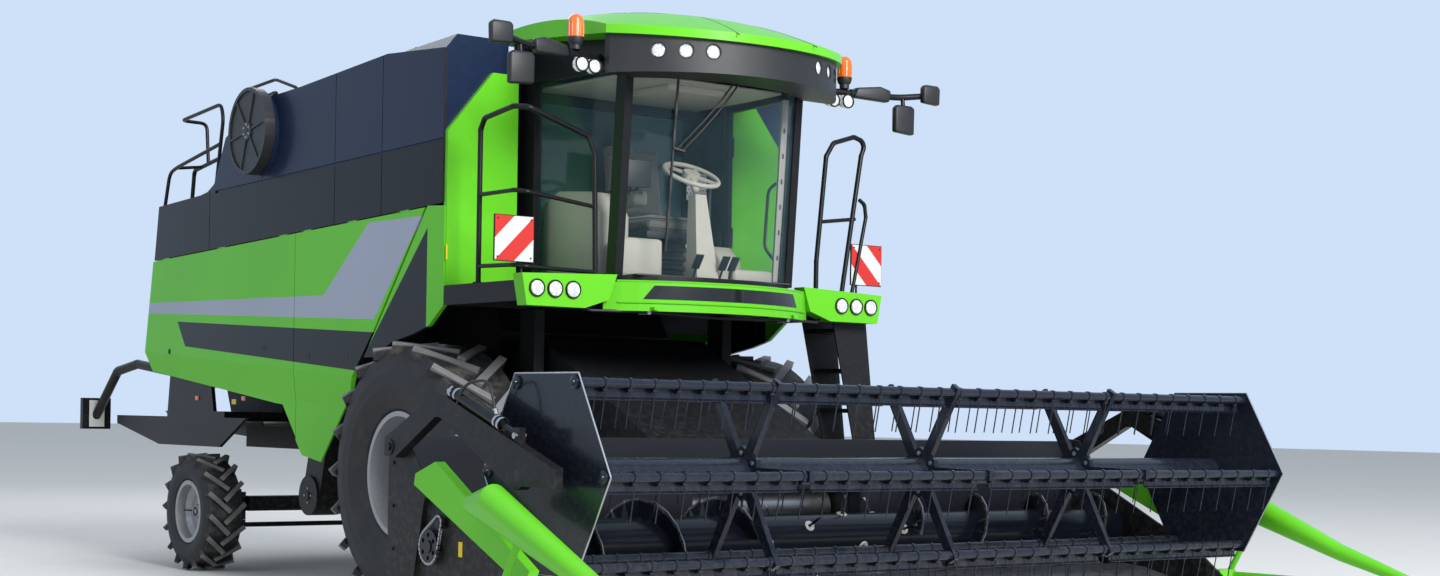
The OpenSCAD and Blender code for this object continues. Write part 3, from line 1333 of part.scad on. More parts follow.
to_frame() chassis_frame();
to_frame() threshing_housing();
to_frame() front_axle();
to_frame() rear_axle_beam();
to_frame() grain_tank();
to_frame() engine_deck();
to_frame() engine_block();
to_frame() straw_hood();
to_frame() straw_chopper();
to_frame() body_front_wall();
to_frame() platform();
to_frame() ladder();
to_frame() handrails();
to_frame() cab_frame();
to_frame() cab_roof();
to_frame() roof_visor();
to_frame() windscreen();
to_frame() cab_glass();
to_frame() cab_seat();
to_frame() steering_column();
to_frame() front_bumper();
to_frame() work_lights();
to_frame() beacons();
to_frame() mirrors();
to_frame() feeder_house();
to_frame() feeder_conveyor();
to_frame() header_trough();
to_frame() header_sides();
to_frame() crop_dividers();
to_frame() cutterbar();
to_frame() header_auger();
to_frame() reel_arms();
to_frame() reel_hub();
to_frame() tine_bar_1();
to_frame() tine_bar_2();
to_frame() tine_bar_3();
to_frame() tine_bar_4();
to_frame() tine_bar_5();
to_frame() tine_bar_6();
to_frame() front_tyre_right();
to_frame() front_rim_right();
to_frame() front_tyre_left();
to_frame() front_rim_left();
to_frame() rear_tyre_right();
to_frame() rear_rim_right();
to_frame() rear_tyre_left();
to_frame() rear_rim_left();
to_frame() rear_knuckle_right();
to_frame() rear_knuckle_left();
to_frame() tie_rod();
to_frame() cab_door();
to_frame() cab_door_glass();
to_frame() panel_front_right();
to_frame() panel_rear_right();
to_frame() panel_front_left();
to_frame() panel_rear_left();
to_frame() unloading_auger();
to_frame() rotary_screen();
to_frame() tank_lid_right();
to_frame() tank_lid_left();
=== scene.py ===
# %% [markdown]
# # A combine harvester with its grain header
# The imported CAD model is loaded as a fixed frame, and every finish and small piece is laid over it. All sizes here
# are millimetres in the drawing's frame: +X is the machine's left, -Y is its front and +Z is up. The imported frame
# lies half a metre further forward, so one function turns a drawing point into a scene point.

# %% Load the frame
import bpy, bmesh, json
from math import radians, sin, cos, asin, atan2, sqrt, pi, hypot
from mathutils import Vector, Matrix


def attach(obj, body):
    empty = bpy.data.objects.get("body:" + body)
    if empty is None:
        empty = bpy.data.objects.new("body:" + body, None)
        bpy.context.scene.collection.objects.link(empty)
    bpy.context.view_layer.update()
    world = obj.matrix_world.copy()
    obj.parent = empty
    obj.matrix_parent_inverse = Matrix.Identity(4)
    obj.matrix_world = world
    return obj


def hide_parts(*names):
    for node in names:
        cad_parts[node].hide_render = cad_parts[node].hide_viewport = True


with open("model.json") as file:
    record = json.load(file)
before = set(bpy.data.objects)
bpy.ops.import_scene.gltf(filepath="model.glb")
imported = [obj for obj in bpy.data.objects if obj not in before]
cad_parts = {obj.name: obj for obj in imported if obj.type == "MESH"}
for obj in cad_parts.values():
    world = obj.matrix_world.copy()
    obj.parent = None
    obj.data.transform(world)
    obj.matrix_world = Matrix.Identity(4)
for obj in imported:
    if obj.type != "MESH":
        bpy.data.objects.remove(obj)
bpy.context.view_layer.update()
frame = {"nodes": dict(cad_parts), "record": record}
FORWARD = -0.5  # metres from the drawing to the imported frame, along y


def at(x, y, z):
    """A drawing point in millimetres as a scene point in metres."""
    return Vector((x / 1000, y / 1000 + FORWARD, z / 1000))


def stand(name, data):
    """A new object that holds the data."""
    made = bpy.data.objects.new(name, data)
    bpy.context.scene.collection.objects.link(made)
    return made


# %% [markdown]
# ## The camera
# The photograph was taken from the machine's front right, low down, with a wide lens held a little askew. The camera
# is built from its measured direction and roll.

# %% Camera
YAW, ROLL, UP = radians(37.71), radians(0.95), Vector((0, 0, 1))
forward = Vector((sin(YAW), cos(YAW), 0))
level = Vector((cos(YAW), -sin(YAW), 0))
right = level * cos(ROLL) + UP * sin(ROLL)
above = UP * cos(ROLL) - level * sin(ROLL)
lens = bpy.data.cameras.new("camera")
lens.lens, lens.sensor_width, lens.shift_y, lens.clip_end = 51.525, 36, 0.0889, 300
camera = stand("camera", lens)
turn = Matrix((right, above, -forward)).transposed().to_4x4()
camera.matrix_world = Matrix.Translation((-8.32, -12.75, 1.33)) @ turn
bpy.context.scene.camera = camera
print("camera", [round(v, 3) for v in camera.location])


# %% [markdown]
# ## Shader sums as Python
# A finish is a small graph of shader nodes. One class wraps a socket, so that sums on it can be written as plain
# Python: each sum adds a Math node. `&` and `|` join masks, because the smaller and the larger of two masks are
# their overlap and their union.

# %% A socket that Python can reckon with
class Value:
    def __init__(self, graph, socket):
        self.graph, self.socket = graph, socket

    def reckon(self, operation, other=None, swapped=False):
        pair = [self] if other is None else [other, self] if swapped else [self, other]
        return self.graph.node("ShaderNodeMath", dict(enumerate(pair)), operation=operation)[0]

    def __add__(self, other): return self.reckon("ADD", other)
    def __sub__(self, other): return self.reckon("SUBTRACT", other)
    def __rsub__(self, other): return self.reckon("SUBTRACT", other, True)
    def __mul__(self, other): return self.reckon("MULTIPLY", other)
    def __pow__(self, other): return self.reckon("POWER", other)
    def __gt__(self, other): return self.reckon("GREATER_THAN", other)
    def __lt__(self, other): return self.reckon("LESS_THAN", other)
    def __and__(self, other): return self.reckon("MINIMUM", other)
    def __or__(self, other): return self.reckon("MAXIMUM", other)
    def __abs__(self): return self.reckon("ABSOLUTE")
    __radd__, __rmul__ = __add__, __mul__

    def ramp(self, low, high, out_low=0.0, out_high=1.0):
        """A smooth step from out_low at low to out_high at high."""
        return self.graph.node("ShaderNodeMapRange", {0: self, 1: low, 2: high, 3: out_low, 4: out_high},
                               interpolation_type="SMOOTHSTEP")[0]


# %% [markdown]
# ## One method for every node
# `node` takes a node's type, then the numbers or links of its sockets, then its settings. The shorter helpers of a
# finish are only names for the nodes that the finishes use most. `surface` ends a finish and keeps it by its name.

# %% A graph and a finish
class Outputs:
    def __init__(self, graph, made):
        self.graph, self.made = graph, made

    def __getitem__(self, key):
        return Value(self.graph, self.made.outputs[key])


class Graph:
    def __init__(self, tree):
        self.tree = tree
        tree.nodes.clear()

    def node(self, kind, inputs=None, **settings):
        made = self.tree.nodes.new(kind)
        for key, value in settings.items():
            setattr(made, key, value)
        for key, value in (inputs or {}).items():
            if isinstance(value, Value):
                self.tree.links.new(value.socket, made.inputs[key])
            else:
                made.inputs[key].default_value = value
        return Outputs(self, made)


def colour(r, g, b):
    """A colour as a screen shows it, 0 to 255, turned to the linear numbers that a shader works with."""
    return tuple((c / 255 / 12.92 if c < 10.3 else ((c / 255 + 0.055) / 1.055) ** 2.4) for c in (r, g, b)) + (1.0,)


finishes = {}


class Finish(Graph):
    """A material that knows the surface point, as a vector and as its lengths x, y, z in the drawing's metres."""
    def __init__(self, name):
        self.name, self.material = name, bpy.data.materials.new(name)
        self.material.use_nodes = True
        super().__init__(self.material.node_tree)
        point = self.node("ShaderNodeTexCoord")["Object"]
        self.point = self.node("ShaderNodeVectorMath", {0: point, 1: (0, -FORWARD, 0)}, operation="ADD")[0]
        parts = self.node("ShaderNodeSeparateXYZ", {0: self.point})
        self.x, self.y, self.z = parts[0], parts[1], parts[2]

    def noise(self, scale, detail=2.0, roughness=0.5, stretch=None):
        point = self.node("ShaderNodeMapping", {"Vector": self.point, "Scale": stretch})[0] if stretch else self.point
        return self.node("ShaderNodeTexNoise", {"Vector": point, "Scale": scale, "Detail": detail,
                                                "Roughness": roughness})["Fac"]

    def cells(self, scale):
        return self.node("ShaderNodeTexVoronoi", {"Vector": self.point, "Scale": scale})["Distance"]

    def mix(self, first, second, factor):
        return self.node("ShaderNodeMix", {0: factor, 6: first, 7: second}, data_type="RGBA")[2]

    def bump(self, height, strength, distance):
        return self.node("ShaderNodeBump", {"Height": height, "Strength": strength, "Distance": distance})["Normal"]

    def surface(self, base, roughness, metallic=0.0, normal=None, **constants):
        inputs = {"Base Color": base, "Roughness": roughness, "Metallic": metallic}
        if normal is not None:
            inputs["Normal"] = normal
        inputs.update({key.replace("_", " ").title().replace("Ior", "IOR"): value for key, value in constants.items()})
        shader = self.node("ShaderNodeBsdfPrincipled", inputs)[0]
        self.node("ShaderNodeOutputMaterial", {"Surface": shader})
        finishes[self.name] = self.material


# %% [markdown]
# ## Floor, backdrop and light
# The floor is a wide pale sheet with a hint of grain. The world glows pale blue only where the camera, a mirror or a
# pane looks at it; everything else is lit by a dimmer sky and three soft lamps, so that pale parts keep their colour.

# %% Studio
ground = Finish("studio_floor")
ground.surface(ground.mix(colour(236, 236, 234), colour(228, 228, 227), ground.noise(3.0, 4.0)), 0.85)
mesh = bpy.data.meshes.new("studio_floor")
mesh.from_pydata([(-90, -60, -0.001), (90, -60, -0.001), (90, 140, -0.001), (-90, 140, -0.001)], [], [(0, 1, 2, 3)])
mesh.materials.append(ground.material)
stand("studio_floor", mesh)

world = bpy.data.worlds.new("studio")
bpy.context.scene.world = world
world.use_nodes = True
air = Graph(world.node_tree)
ray = air.node("ShaderNodeLightPath")
looked_at = ray["Is Camera Ray"] | ray["Is Transmission Ray"] | ray["Is Glossy Ray"]
sky = air.node("ShaderNodeBackground", {0: (0.86, 0.93, 1.0, 1), 1: 0.5})[0]
backdrop = air.node("ShaderNodeBackground", {0: (0.62, 0.75, 0.94, 1), 1: 1.0})[0]
air.node("ShaderNodeOutputWorld", {0: air.node("ShaderNodeMixShader", {0: looked_at, 1: sky, 2: backdrop})[0]})

for name, place, aim, size, power in (("key", (-2, -30, 15), (0, -2, 1.5), 12, 13000),
                                      ("fill", (-16, -3, 9), (0, 0, 2), 9, 200),
                                      ("back", (4, 14, 12), (0, 1, 2.5), 8, 420)):
    data = bpy.data.lights.new(name, "AREA")
    data.shape, data.size, data.energy = "DISK", size, power
    lamp = stand(name, data)
    lamp.location = place
    lamp.rotation_euler = (Vector(aim) - Vector(place)).to_track_quat("-Z", "Y").to_euler()
bpy.context.scene.view_settings.view_transform = "Standard"

# %% [markdown]
# ## Sprayed paint
# Every large sheet of the machine is sprayed steel or plastic. Sprayed paint is never one flat colour: its tone
# drifts a little over a metre, the clear coat has a fine orange peel, and dust settles low down and in patches. The
# same recipe makes each paint; only its colours and its gloss change.

# %% The paint recipe
def painted(finish, base, rough=0.28, dusty=0.14, peel=0.05, metallic=0.0, coat=0.05, shine=0.2):
    drift = finish.noise(0.9, 3.0)
    speck = finish.noise(26.0, 5.0, 0.7)
    dust = (finish.z.ramp(1.9, 0.15) * 0.8 + 0.12) * speck.ramp(0.42, 0.68) * dusty
    toned = finish.mix(base, (0.0, 0.0, 0.0, 1.0), drift.ramp(0.35, 0.75) * 0.07)
    dusted = finish.mix(toned, colour(150, 140, 122), dust)
    skin = finish.bump(finish.noise(520.0, 1.0), peel, 0.0006)
    scuff = finish.noise(5.0, 4.0, 0.65, (3.0, 3.0, 60.0))
    roughness = drift * 0.05 + scuff.ramp(0.5, 0.8) * 0.06 + dust * 0.6 + rough
    finish.surface(dusted, roughness, metallic, skin, coat_weight=coat, coat_roughness=0.06, specular_ior_level=shine)


# The navy is bluer than the real dark navy paint: part of its blue is a painted reflection of the sky.
GREEN, NAVY_WITH_PAINTED_SKY, INK, FOIL_BLACK = colour(96, 192, 34), colour(26, 38, 64), colour(12, 14, 19), colour(18, 20, 26)
painted(Finish("green_paint"), GREEN, 0.30)
painted(Finish("dark_paint"), colour(24, 25, 29), 0.44, 0.14, 0.08, coat=0.0)
painted(Finish("black_paint"), colour(17, 18, 22), 0.34, 0.1)
painted(Finish("navy_paint"), NAVY_WITH_PAINTED_SKY, 0.24, 0.12, coat=0.1)
# The reel's paint is black; its blue tint is a painted reflection of the sky.
painted(Finish("reel_paint"), colour(21, 26, 39), 0.24, 0.06, coat=0.3)
painted(Finish("rim_paint"), colour(158, 161, 166), 0.34, 0.5, metallic=0.35, coat=0.3)
print("plain paints", list(finishes))

# %% [markdown]
# ## The side panels' stripe and wedge
# A silver band runs along each side panel and kinks up to the front, with a black wedge under it. On the real
# machine both are foil. The bands have straight edges, so each edge is one line across the panel in the drawing's
# y and z, and the band is what lies between the lines. The wall beside the cab is green, and black behind its edge.
# The tank is near black below its rolled lip and deep blue above it; part of that blue is a painted reflection of the
# sky.

# %% Panel, wall and tank finishes
def edge(y, start, end):
    """The height of a straight edge through two points of the panel, at a distance y along the machine."""
    slope = (end[1] - start[1]) / (end[0] - start[0])
    return y * slope + (start[1] - slope * start[0])


panel = Finish("panel_paint")
y, z = panel.y, panel.z
upper = edge(y, (0.653, 2.646), (1.333, 2.157)) | edge(y, (1.333, 2.157), (4.59, 2.207))
lower = edge(y, (-0.089, 2.636), (0.562, 1.963)) | edge(y, (0.562, 1.963), (4.59, 2.122))
stripe = (z < upper) & (z > lower) & (z < 2.64)
wedge = (z < edge(y, (0.577, 1.873), (3.948, 2.035))) & (z > edge(y, (0.879, 1.612), (3.785, 1.828)))
wedge = wedge & (z > edge(y, (3.785, 1.828), (3.948, 2.035)))
foil = panel.mix(GREEN, colour(158, 166, 186), stripe)
painted(panel, panel.mix(foil, FOIL_BLACK, wedge), 0.30, 0.08)
wall = Finish("wall_paint")
black = (wall.y > -0.168) & (wall.z < edge(wall.y, (-0.165, 2.552), (0.53, 1.875)))
painted(wall, wall.mix(GREEN, FOIL_BLACK, black), 0.30, 0.08)
tank = Finish("tank_paint")
over_lip = tank.z > edge(tank.y, (-0.36, 3.128), (3.24, 3.049))
# Above the lip the tank takes the navy, whose extra blue is a painted sky reflection.
painted(tank, tank.mix(INK, NAVY_WITH_PAINTED_SKY, over_lip), 0.24, 0.04, coat=0.04, shine=0.15)

# %% [markdown]
# ## Auger and trough
# The auger's flights and the trough's floor are rubbed bright by straw, so their paint gives way to steel where the
# crop slides.

# %% Rubbed finishes
AUGER_Y, AUGER_Z = -2500, 600


def rubbed(name, base, worn, rough):
    """A paint that is worn to steel where the mask `worn`, made from the finish and a patchy noise, is 1."""
    finish = Finish(name)
    bare = worn(finish, finish.noise(14.0, 5.0, 0.7))
    streak = finish.noise(4.0, 4.0, stretch=(60.0, 4.0, 4.0))
    metal = finish.mix(colour(120, 122, 126), colour(168, 170, 174), streak)
    finish.surface(finish.mix(base, metal, bare), bare * (streak * 0.2 - rough * 0.3) + rough, bare * 0.9,
                   finish.bump(streak, 0.1, 0.0006), specular_ior_level=0.3)


def from_axle(finish, y, z):
    """The distance from an axle that lies across the machine, its place in millimetres."""
    dy, dz = finish.y - y / 1000, finish.z - z / 1000
    return (dy * dy + dz * dz) ** 0.5


rubbed("auger_paint", colour(18, 22, 32), lambda finish, patch: (
    (from_axle(finish, AUGER_Y, AUGER_Z) + (patch - 0.5) * 0.05).ramp(0.225, 0.245)), 0.24)
rubbed("trough_paint", colour(30, 32, 38), lambda finish, patch: (
    (finish.z + (patch - 0.5) * 0.3).ramp(0.62, 0.32) * patch.ramp(0.35, 0.6, 0.15, 0.75)), 0.36)

# %% [markdown]
# ## Rubber
# A drive tyre's sidewall carries fine rings round the rim, its rubber greys where it has been flexed and its lug
# tops are worn pale. All follow the distance from the wheel's axle, so each axle height has its own finish.

# %% Tyre finishes
FRONT, REAR = (1307, 0, 900), (1320, 3700, 480)  # the left wheels' centres


def rubber(name, centre, tread, rings):
    finish = Finish(name)
    out = from_axle(finish, *centre[1:])
    ring = (out * rings).reckon("SINE") * (out < tread)
    grain = finish.noise(240.0, 3.0, 0.6)
    dirt = finish.noise(9.0, 5.0, 0.65).ramp(0.45, 0.75)
    worn = out.ramp(tread, tread + 0.06) * 0.35 + 0.12
    clean = finish.mix(colour(28, 29, 32), colour(120, 114, 104), dirt * worn)
    base = finish.mix(clean, colour(134, 134, 136), out.ramp(tread + 0.06, tread + 0.078) * (0.75 - dirt * 0.3))
    finish.surface(base, dirt * 0.15 + 0.62, 0.0, finish.bump(ring * 0.5 + grain * 0.4, 0.35, 0.0012),
                   specular_ior_level=0.4)


rubber("tyre_front", FRONT, 0.80, 260.0)
rubber("tyre_rear", REAR, 0.40, 330.0)

# %% [markdown]
# ## Metals
# Bare steel is brushed, so its noise is stretched one way; the engine's cast iron is pitted. The holes of a drilled
# sheet are too many to cut, so they are a mask: a grid of dots, painted dark where the sheet is open as painted shade
# seen through the holes, with a dip in the bump at each edge.

# %% Metals
steel = Finish("bare_steel")
brushed = steel.noise(4.0, 4.0, 0.6, (8.0, 90.0, 90.0))
spots = steel.noise(40.0, 5.0, 0.7).ramp(0.55, 0.75)
steel.surface(steel.mix(colour(176, 178, 180), colour(120, 112, 102), spots * 0.5),
              brushed * 0.15 + spots * 0.25 + 0.22, 1.0, steel.bump(brushed, 0.15, 0.0005))
cast = Finish("cast_engine")
pits = cast.noise(90.0, 5.0, 0.65)
cast.surface(cast.mix(colour(70, 71, 72), colour(48, 46, 44), pits), pits * 0.2 + 0.55, 0.4,
             cast.bump(pits, 0.4, 0.001))


def drilled(name, grid, inner, outer, sheet, dark, rough, strength, depth):
    """A sheet with round holes; grid gives a point's place in holes, across and along."""
    finish = Finish(name)
    u, v = (value.reckon("FRACT") - 0.5 for value in grid(finish))
    # The dark inside each hole is painted shade, standing for the shade behind the sheet.
    hole = (u * u + v * v).ramp(inner, outer, 1.0, 0.0)
    finish.surface(finish.mix(sheet, dark, hole), hole * rough + 0.4, 0.0, finish.bump(1 - hole, strength, depth))


def staggered(finish):
    row = finish.z * 38.0
    return (finish.x + finish.y) * 38.0 + (row.reckon("FLOOR") * 0.5).reckon("FRACT"), row


drilled("drilled_sheet", staggered, 0.03, 0.07, colour(226, 228, 230), colour(40, 42, 44), 0.4, 0.5, 0.002)
drilled("screen_sheet", lambda finish: (finish.y * 90.0, finish.z * 90.0), 0.06, 0.11, colour(36, 37, 40),
        colour(8, 8, 9), 0.3, 0.4, 0.001)

# %% [markdown]
# ## Plastics
# Moulded plastic takes the leather grain of its mould, which a fine cell pattern gives as bump. One recipe makes the
# black, the pale and the red parts; the beacons' amber has a wave of flutes up its dome.

# %% Plastics
def moulded(name, base, rough, grain=0.3, **constants):
    finish = Finish(name)
    drift = finish.noise(3.0, 3.0)
    tone = finish.mix(base, colour(128, 122, 112), drift.ramp(0.5, 0.85) * 0.08)
    finish.surface(tone, drift * 0.08 + rough, 0.0, finish.bump(finish.cells(420.0), grain, 0.0008), **constants)


moulded("black_plastic", colour(24, 25, 27), 0.46)
moulded("gloss_black", colour(11, 12, 14), 0.16, 0.02, coat_weight=0.2, coat_roughness=0.04)
moulded("trim_plastic", colour(186, 184, 172), 0.5)
moulded("dark_trim", colour(62, 62, 62), 0.55)
moulded("pale_plastic", colour(206, 207, 202), 0.4)
moulded("yellow_blank", colour(226, 196, 20), 0.4, 0.05)
moulded("hose_rubber", colour(22, 22, 23), 0.5, 0.5)
moulded("red_lens", colour(196, 24, 18), 0.12, 0.3, coat_weight=0.6)
amber = Finish("amber_plastic")
flutes = (amber.z * 900.0).reckon("SINE")
amber.surface(amber.mix(colour(242, 118, 16), colour(196, 78, 8), flutes.ramp(-1, 1)), 0.14, 0.0,
              amber.bump(flutes, 0.3, 0.0006), coat_weight=0.6)

# %% [markdown]
# ## Seat cloth
# The seat is woven. Two waves that cross stand for warp and weft, which is enough through the cab's glass.

# %% Cloth
cloth = Finish("seat_cloth")
weave = ((cloth.x + cloth.y * 0.3) * 2600.0).reckon("SINE") * ((cloth.z + cloth.y) * 2600.0).reckon("SINE")
fluff = cloth.noise(300.0, 3.0)
cloth.surface(cloth.mix(colour(112, 110, 104), colour(74, 73, 70), weave.ramp(-0.6, 0.9) * 0.6 + fluff * 0.3),
              fluff * 0.1 + 0.85, 0.0, cloth.bump(weave + fluff, 0.35, 0.0008), sheen_weight=0.3, sheen_roughness=0.5)

# %% [markdown]
# ## Glass and lamps
# A pane is clear when one looks straight through it and turns to a mirror at its edges, so its Alpha follows the
# Layer Weight. The cab's rear pane lies behind the seat and is made opaque; its dark tint is painted shade for the dim
# gap behind the cab.

# %% Panes, mirrors and lenses
REAR_PANE_Y = -0.29
glass = Finish("clear_glass")
facing = glass.node("ShaderNodeLayerWeight", {"Blend": 0.35})["Facing"]
smear = glass.noise(5.0, 4.0, 0.6).ramp(0.4, 0.8)
CLEAR, AT_EDGE = 0.10, 0.6
# Behind REAR_PANE_Y the pane is opaque, and its dark tint is painted shade for the dim gap behind the cab.
alpha = facing * facing * (AT_EDGE - CLEAR) + smear * 0.02 + CLEAR + (glass.y > REAR_PANE_Y)
glass.surface(colour(58, 84, 92), smear * 0.05 + 0.03, alpha=alpha, coat_weight=0.3, coat_roughness=0.02)
silvered = Finish("mirror_glass")
silvered.surface(colour(205, 212, 220), silvered.noise(12.0, 3.0).ramp(0.4, 0.8) * 0.06 + 0.03, 1.0)
faceted = Finish("lamp_glass")
# The lamps are off: the pale facets and their glow are a painted reflection of the chrome bowl behind each lens.
facets = faceted.cells(75.0)
painted_glint = facets.ramp(0.15, 0.65, 1.0, 0.45)
faceted.surface(faceted.mix(colour(96, 102, 110), colour(214, 218, 222), painted_glint), facets * 0.2 + 0.08, 0.0,
                faceted.bump(facets, 0.4, 0.002), coat_weight=0.8, emission_strength=0.4,
                emission_color=faceted.mix((0.10, 0.11, 0.13, 1), (1, 1, 1, 1), painted_glint))
board = Finish("marking_board")
bar = ((abs(board.x) + board.z) * -3.546 + 13.798).reckon("FRACT") < 0.5
bead = board.cells(900.0)
board.surface(board.mix(colour(198, 199, 200), colour(190, 26, 9), bar), bead * 0.1 + 0.3, 0.0,
              board.bump(bead, 0.2, 0.0004), coat_weight=0.4)

# %% [markdown]
# ## Dress the frame
# Each CAD node keeps its shape and gets a finish: the one of its material slot, unless it has one of its own.

# %% Finishes on the CAD nodes
OWN = {"header_auger": "auger_paint", "header_trough": "trough_paint", "reel_arms": "black_paint",
       "body_front_wall": "wall_paint", "grain_tank": "tank_paint", "engine_deck": "tank_paint",
       "reel_hub": "reel_paint", "rotary_screen": "screen_sheet"}
OWN |= {f"panel_{end}_{side}": "panel_paint" for end in ("front", "rear") for side in ("right", "left")}
OWN |= {f"{end}_tyre_{side}": f"tyre_{end}" for end in ("front", "rear") for side in ("right", "left")}
OWN |= {f"tine_bar_{k}": "reel_paint" for k in range(1, 7)}
slots = {part["node"]: part["material_slot"] for part in frame["record"]["subparts"]}
for name, obj in frame["nodes"].items():
    for material_slot in obj.material_slots:
        material_slot.material = finishes[OWN.get(name, slots[name])]
print("finishes", len(finishes), "on", len(frame["nodes"]), "nodes")

# %% [markdown]
# ## A small workshop
# Every extra piece is drawn with the same few tools, in the drawing's millimetres: a block, a slab cut to an
# outline, a plate across one axis, a tube along a path and a turned shape. `make` turns what was drawn into one mesh
# at the origin, merges and orients it, rounds its sharp edges if asked, and lets it ride on a body.

# %% Drawing tools
def around(count):
    return [2 * pi * k / count for k in range(count)]


def along(count):
    """Even steps from 0 to 1."""
    return [k / count for k in range(count + 1)]


def lathe(centre, axis):
    """A function for the point at a radius, a height along the axis and an angle round it."""
    centre, axis = Vector(centre), Vector(axis).normalized()
    u = axis.orthogonal().normalized()
    v = axis.cross(u)
    return lambda r, h, a: centre + axis * h + (u * cos(a) + v * sin(a)) * r


def rounded(corners, radius, steps=5):
    """A path through the corner points, with each inner corner turned to an arc."""
    corners = [Vector(c) for c in corners]
    path = [corners[0]]
    for before, corner, after in zip(corners, corners[1:], corners[2:]):
        reach = min(radius, (corner - before).length * 0.45, (after - corner).length * 0.45)
        start = corner + (before - corner).normalized() * reach
        end = corner + (after - corner).normalized() * reach
        path += [start * (1 - t) ** 2 + corner * 2 * t * (1 - t) + end * t * t for t in along(steps)]
    return path + [corners[-1]]


class Shape:
    def __init__(self):
        self.points, self.faces, self.marks = [], [], []

    def add(self, points, faces, mark=0):
        base = len(self.points)
        self.points += points
        self.faces += [[base + i for i in face] for face in faces]
        self.marks += [mark] * len(faces)
        return self

    def skin(self, points, sides, mark=0, closed=False):
        """Faces between rings of `sides` points each, with the ends capped unless the rings close."""
        n = len(points) // sides
        faces = [] if closed else [(0, *range(sides)[:0:-1]), range((n - 1) * sides, n * sides)]
        faces += [(i * sides + k, i * sides + (k + 1) % sides, (i + 1) % n * sides + (k + 1) % sides,
                   (i + 1) % n * sides + k) for i in range(n if closed else n - 1) for k in range(sides)]
        return self.add(points, faces, mark)

    def slab(self, outline, depth, mark=0):
        """A flat outline of 3-D points, made solid along the vector depth."""
        outline = [Vector(p) for p in outline]
        return self.skin(outline + [p + Vector(depth) for p in outline], len(outline), mark)

    def plate(self, axis, place, outline, depth, mark=0):
        """A slab across axis 0, 1 or 2 at a place; the outline has the other two lengths."""
        depth = [depth * (k == axis) for k in range(3)]
        return self.slab([(*p[:axis], place, *p[axis:]) for p in outline], depth, mark)

    def block(self, low, high, mark=0):
        (a, b, c), (d, e, f) = low, high
        return self.plate(2, c, [(a, b), (d, b), (d, e), (a, e)], f - c, mark)

    def tube(self, path, width, sides=10, mark=0, bend=0, closed=False):
        path = rounded(path, bend) if bend else [Vector(p) for p in path]
        n, rings, normal = len(path), [], None
        for i, p in enumerate(path):
            before = path[i - 1] if i or closed else p
            after = path[(i + 1) % n] if i < n - 1 or closed else p
            ahead = (after - before).normalized()
            if normal is None:
                normal = ahead.orthogonal().normalized()
            normal = (normal - ahead * normal.dot(ahead)).normalized()
            across = ahead.cross(normal)
            rings += [p + (normal * cos(a) + across * sin(a)) * width / 2 for a in around(sides)]
        return self.skin(rings, sides, mark, closed)

    def turned(self, centre, axis, profile, sides=32, mark=0):
        """A shape of revolution: profile is a list of (radius, distance along the axis)."""
        point = lathe(centre, axis)
        return self.skin([point(max(r, 0.001), h, a) for r, h in profile for a in around(sides)], sides, mark)

    def bezel(self, centre, axis, inner, outer, tall, sides=36, mark=0):
        """A ring with a rounded rim, open in the middle."""
        point = lathe(centre, axis)
        profile = [(inner, 0), (outer, 0), (outer, tall * 0.6), ((outer * 3 + inner) / 4, tall), (inner, tall * 0.55)]
        return self.skin([point(r, h, a) for a in around(sides) for r, h in profile], len(profile), mark, True)

    def lens(self, centre, axis, r, rise, mark=1):
        """A lens: a shallow crowned disc with a ring step and a small middle eye."""
        profile = ((1, 0), (0.98, 0.4), (0.82, 0.75), (0.8, 0.6), (0.45, 0.95), (0.42, 0.8), (0, 1))
        return self.turned(centre, axis, [(r * a, rise * b) for a, b in profile], mark=mark)

    def both_sides(self):
        """Adds the same on the machine's other side."""
        base = len(self.points)
        self.points += [Vector((-p.x, p.y, p.z)) for p in self.points]
        self.faces += [[base + i for i in reversed(face)] for face in self.faces]
        self.marks += self.marks


# %% [markdown]
# ## From a drawing to a piece
# `built` makes the mesh, `worked` puts one modifier on it and bakes it, and `settle` shades the piece and lets it
# ride on its body.

# %% Pieces
made_pieces = []


def built(name, shape, finish):
    mesh = bpy.data.meshes.new(name)
    mesh.from_pydata([at(*p) for p in shape.points], [], shape.faces)
    for one in finish if isinstance(finish, list) else [finish]:
        mesh.materials.append(finishes[one])
    mesh.polygons.foreach_set("material_index", shape.marks)
    return stand(name, mesh)


def bake(obj):
    """Turns an object's modifiers into a plain mesh."""
    bpy.context.view_layer.update()
    solid = bpy.data.meshes.new_from_object(obj.evaluated_get(bpy.context.evaluated_depsgraph_get()))
    obj.modifiers.clear()
    obj.data = solid
    return obj


def worked(obj, kind, **settings):
    """Bakes one modifier with its settings into the mesh."""
    step = obj.modifiers.new("step", kind)
    for key, value in settings.items():
        setattr(step, key, value)
    return bake(obj)


def settle(obj, body, smooth=35):
    """Shades a finished mesh and lets it ride."""
    obj.data.shade_smooth()
    obj.data.set_sharp_from_angle(angle=radians(smooth))
    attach(obj, body)
    kind = next((one.name for one in obj.data.materials if one), "")
    kind in slots.values()
    made_pieces.append(obj)
    return obj


def make(name, shape, finish, body="root", bevel=0.0, smooth=35, both=False):
    if both:
        shape.both_sides()
    obj = built(name, shape, finish)
    tool = bmesh.new()
    tool.from_mesh(obj.data)
    bmesh.ops.remove_doubles(tool, verts=tool.verts, dist=0.00002)
    bmesh.ops.recalc_face_normals(tool, faces=tool.faces)
    tool.to_mesh(obj.data)
    tool.free()
    if bevel:
        worked(obj, "BEVEL", width=bevel / 1000, segments=2, limit_method="ANGLE", angle_limit=radians(40))
    return settle(obj, body, smooth)


print("tools ready")

# %% [markdown]
# ## Growing rows and rings
# Bolts, clamps, studs and chain links repeat, so Geometry Nodes make them. Each tree has named inputs for its sizes.
# It ends by making its instances real and giving them their finish, and the result becomes a plain mesh.

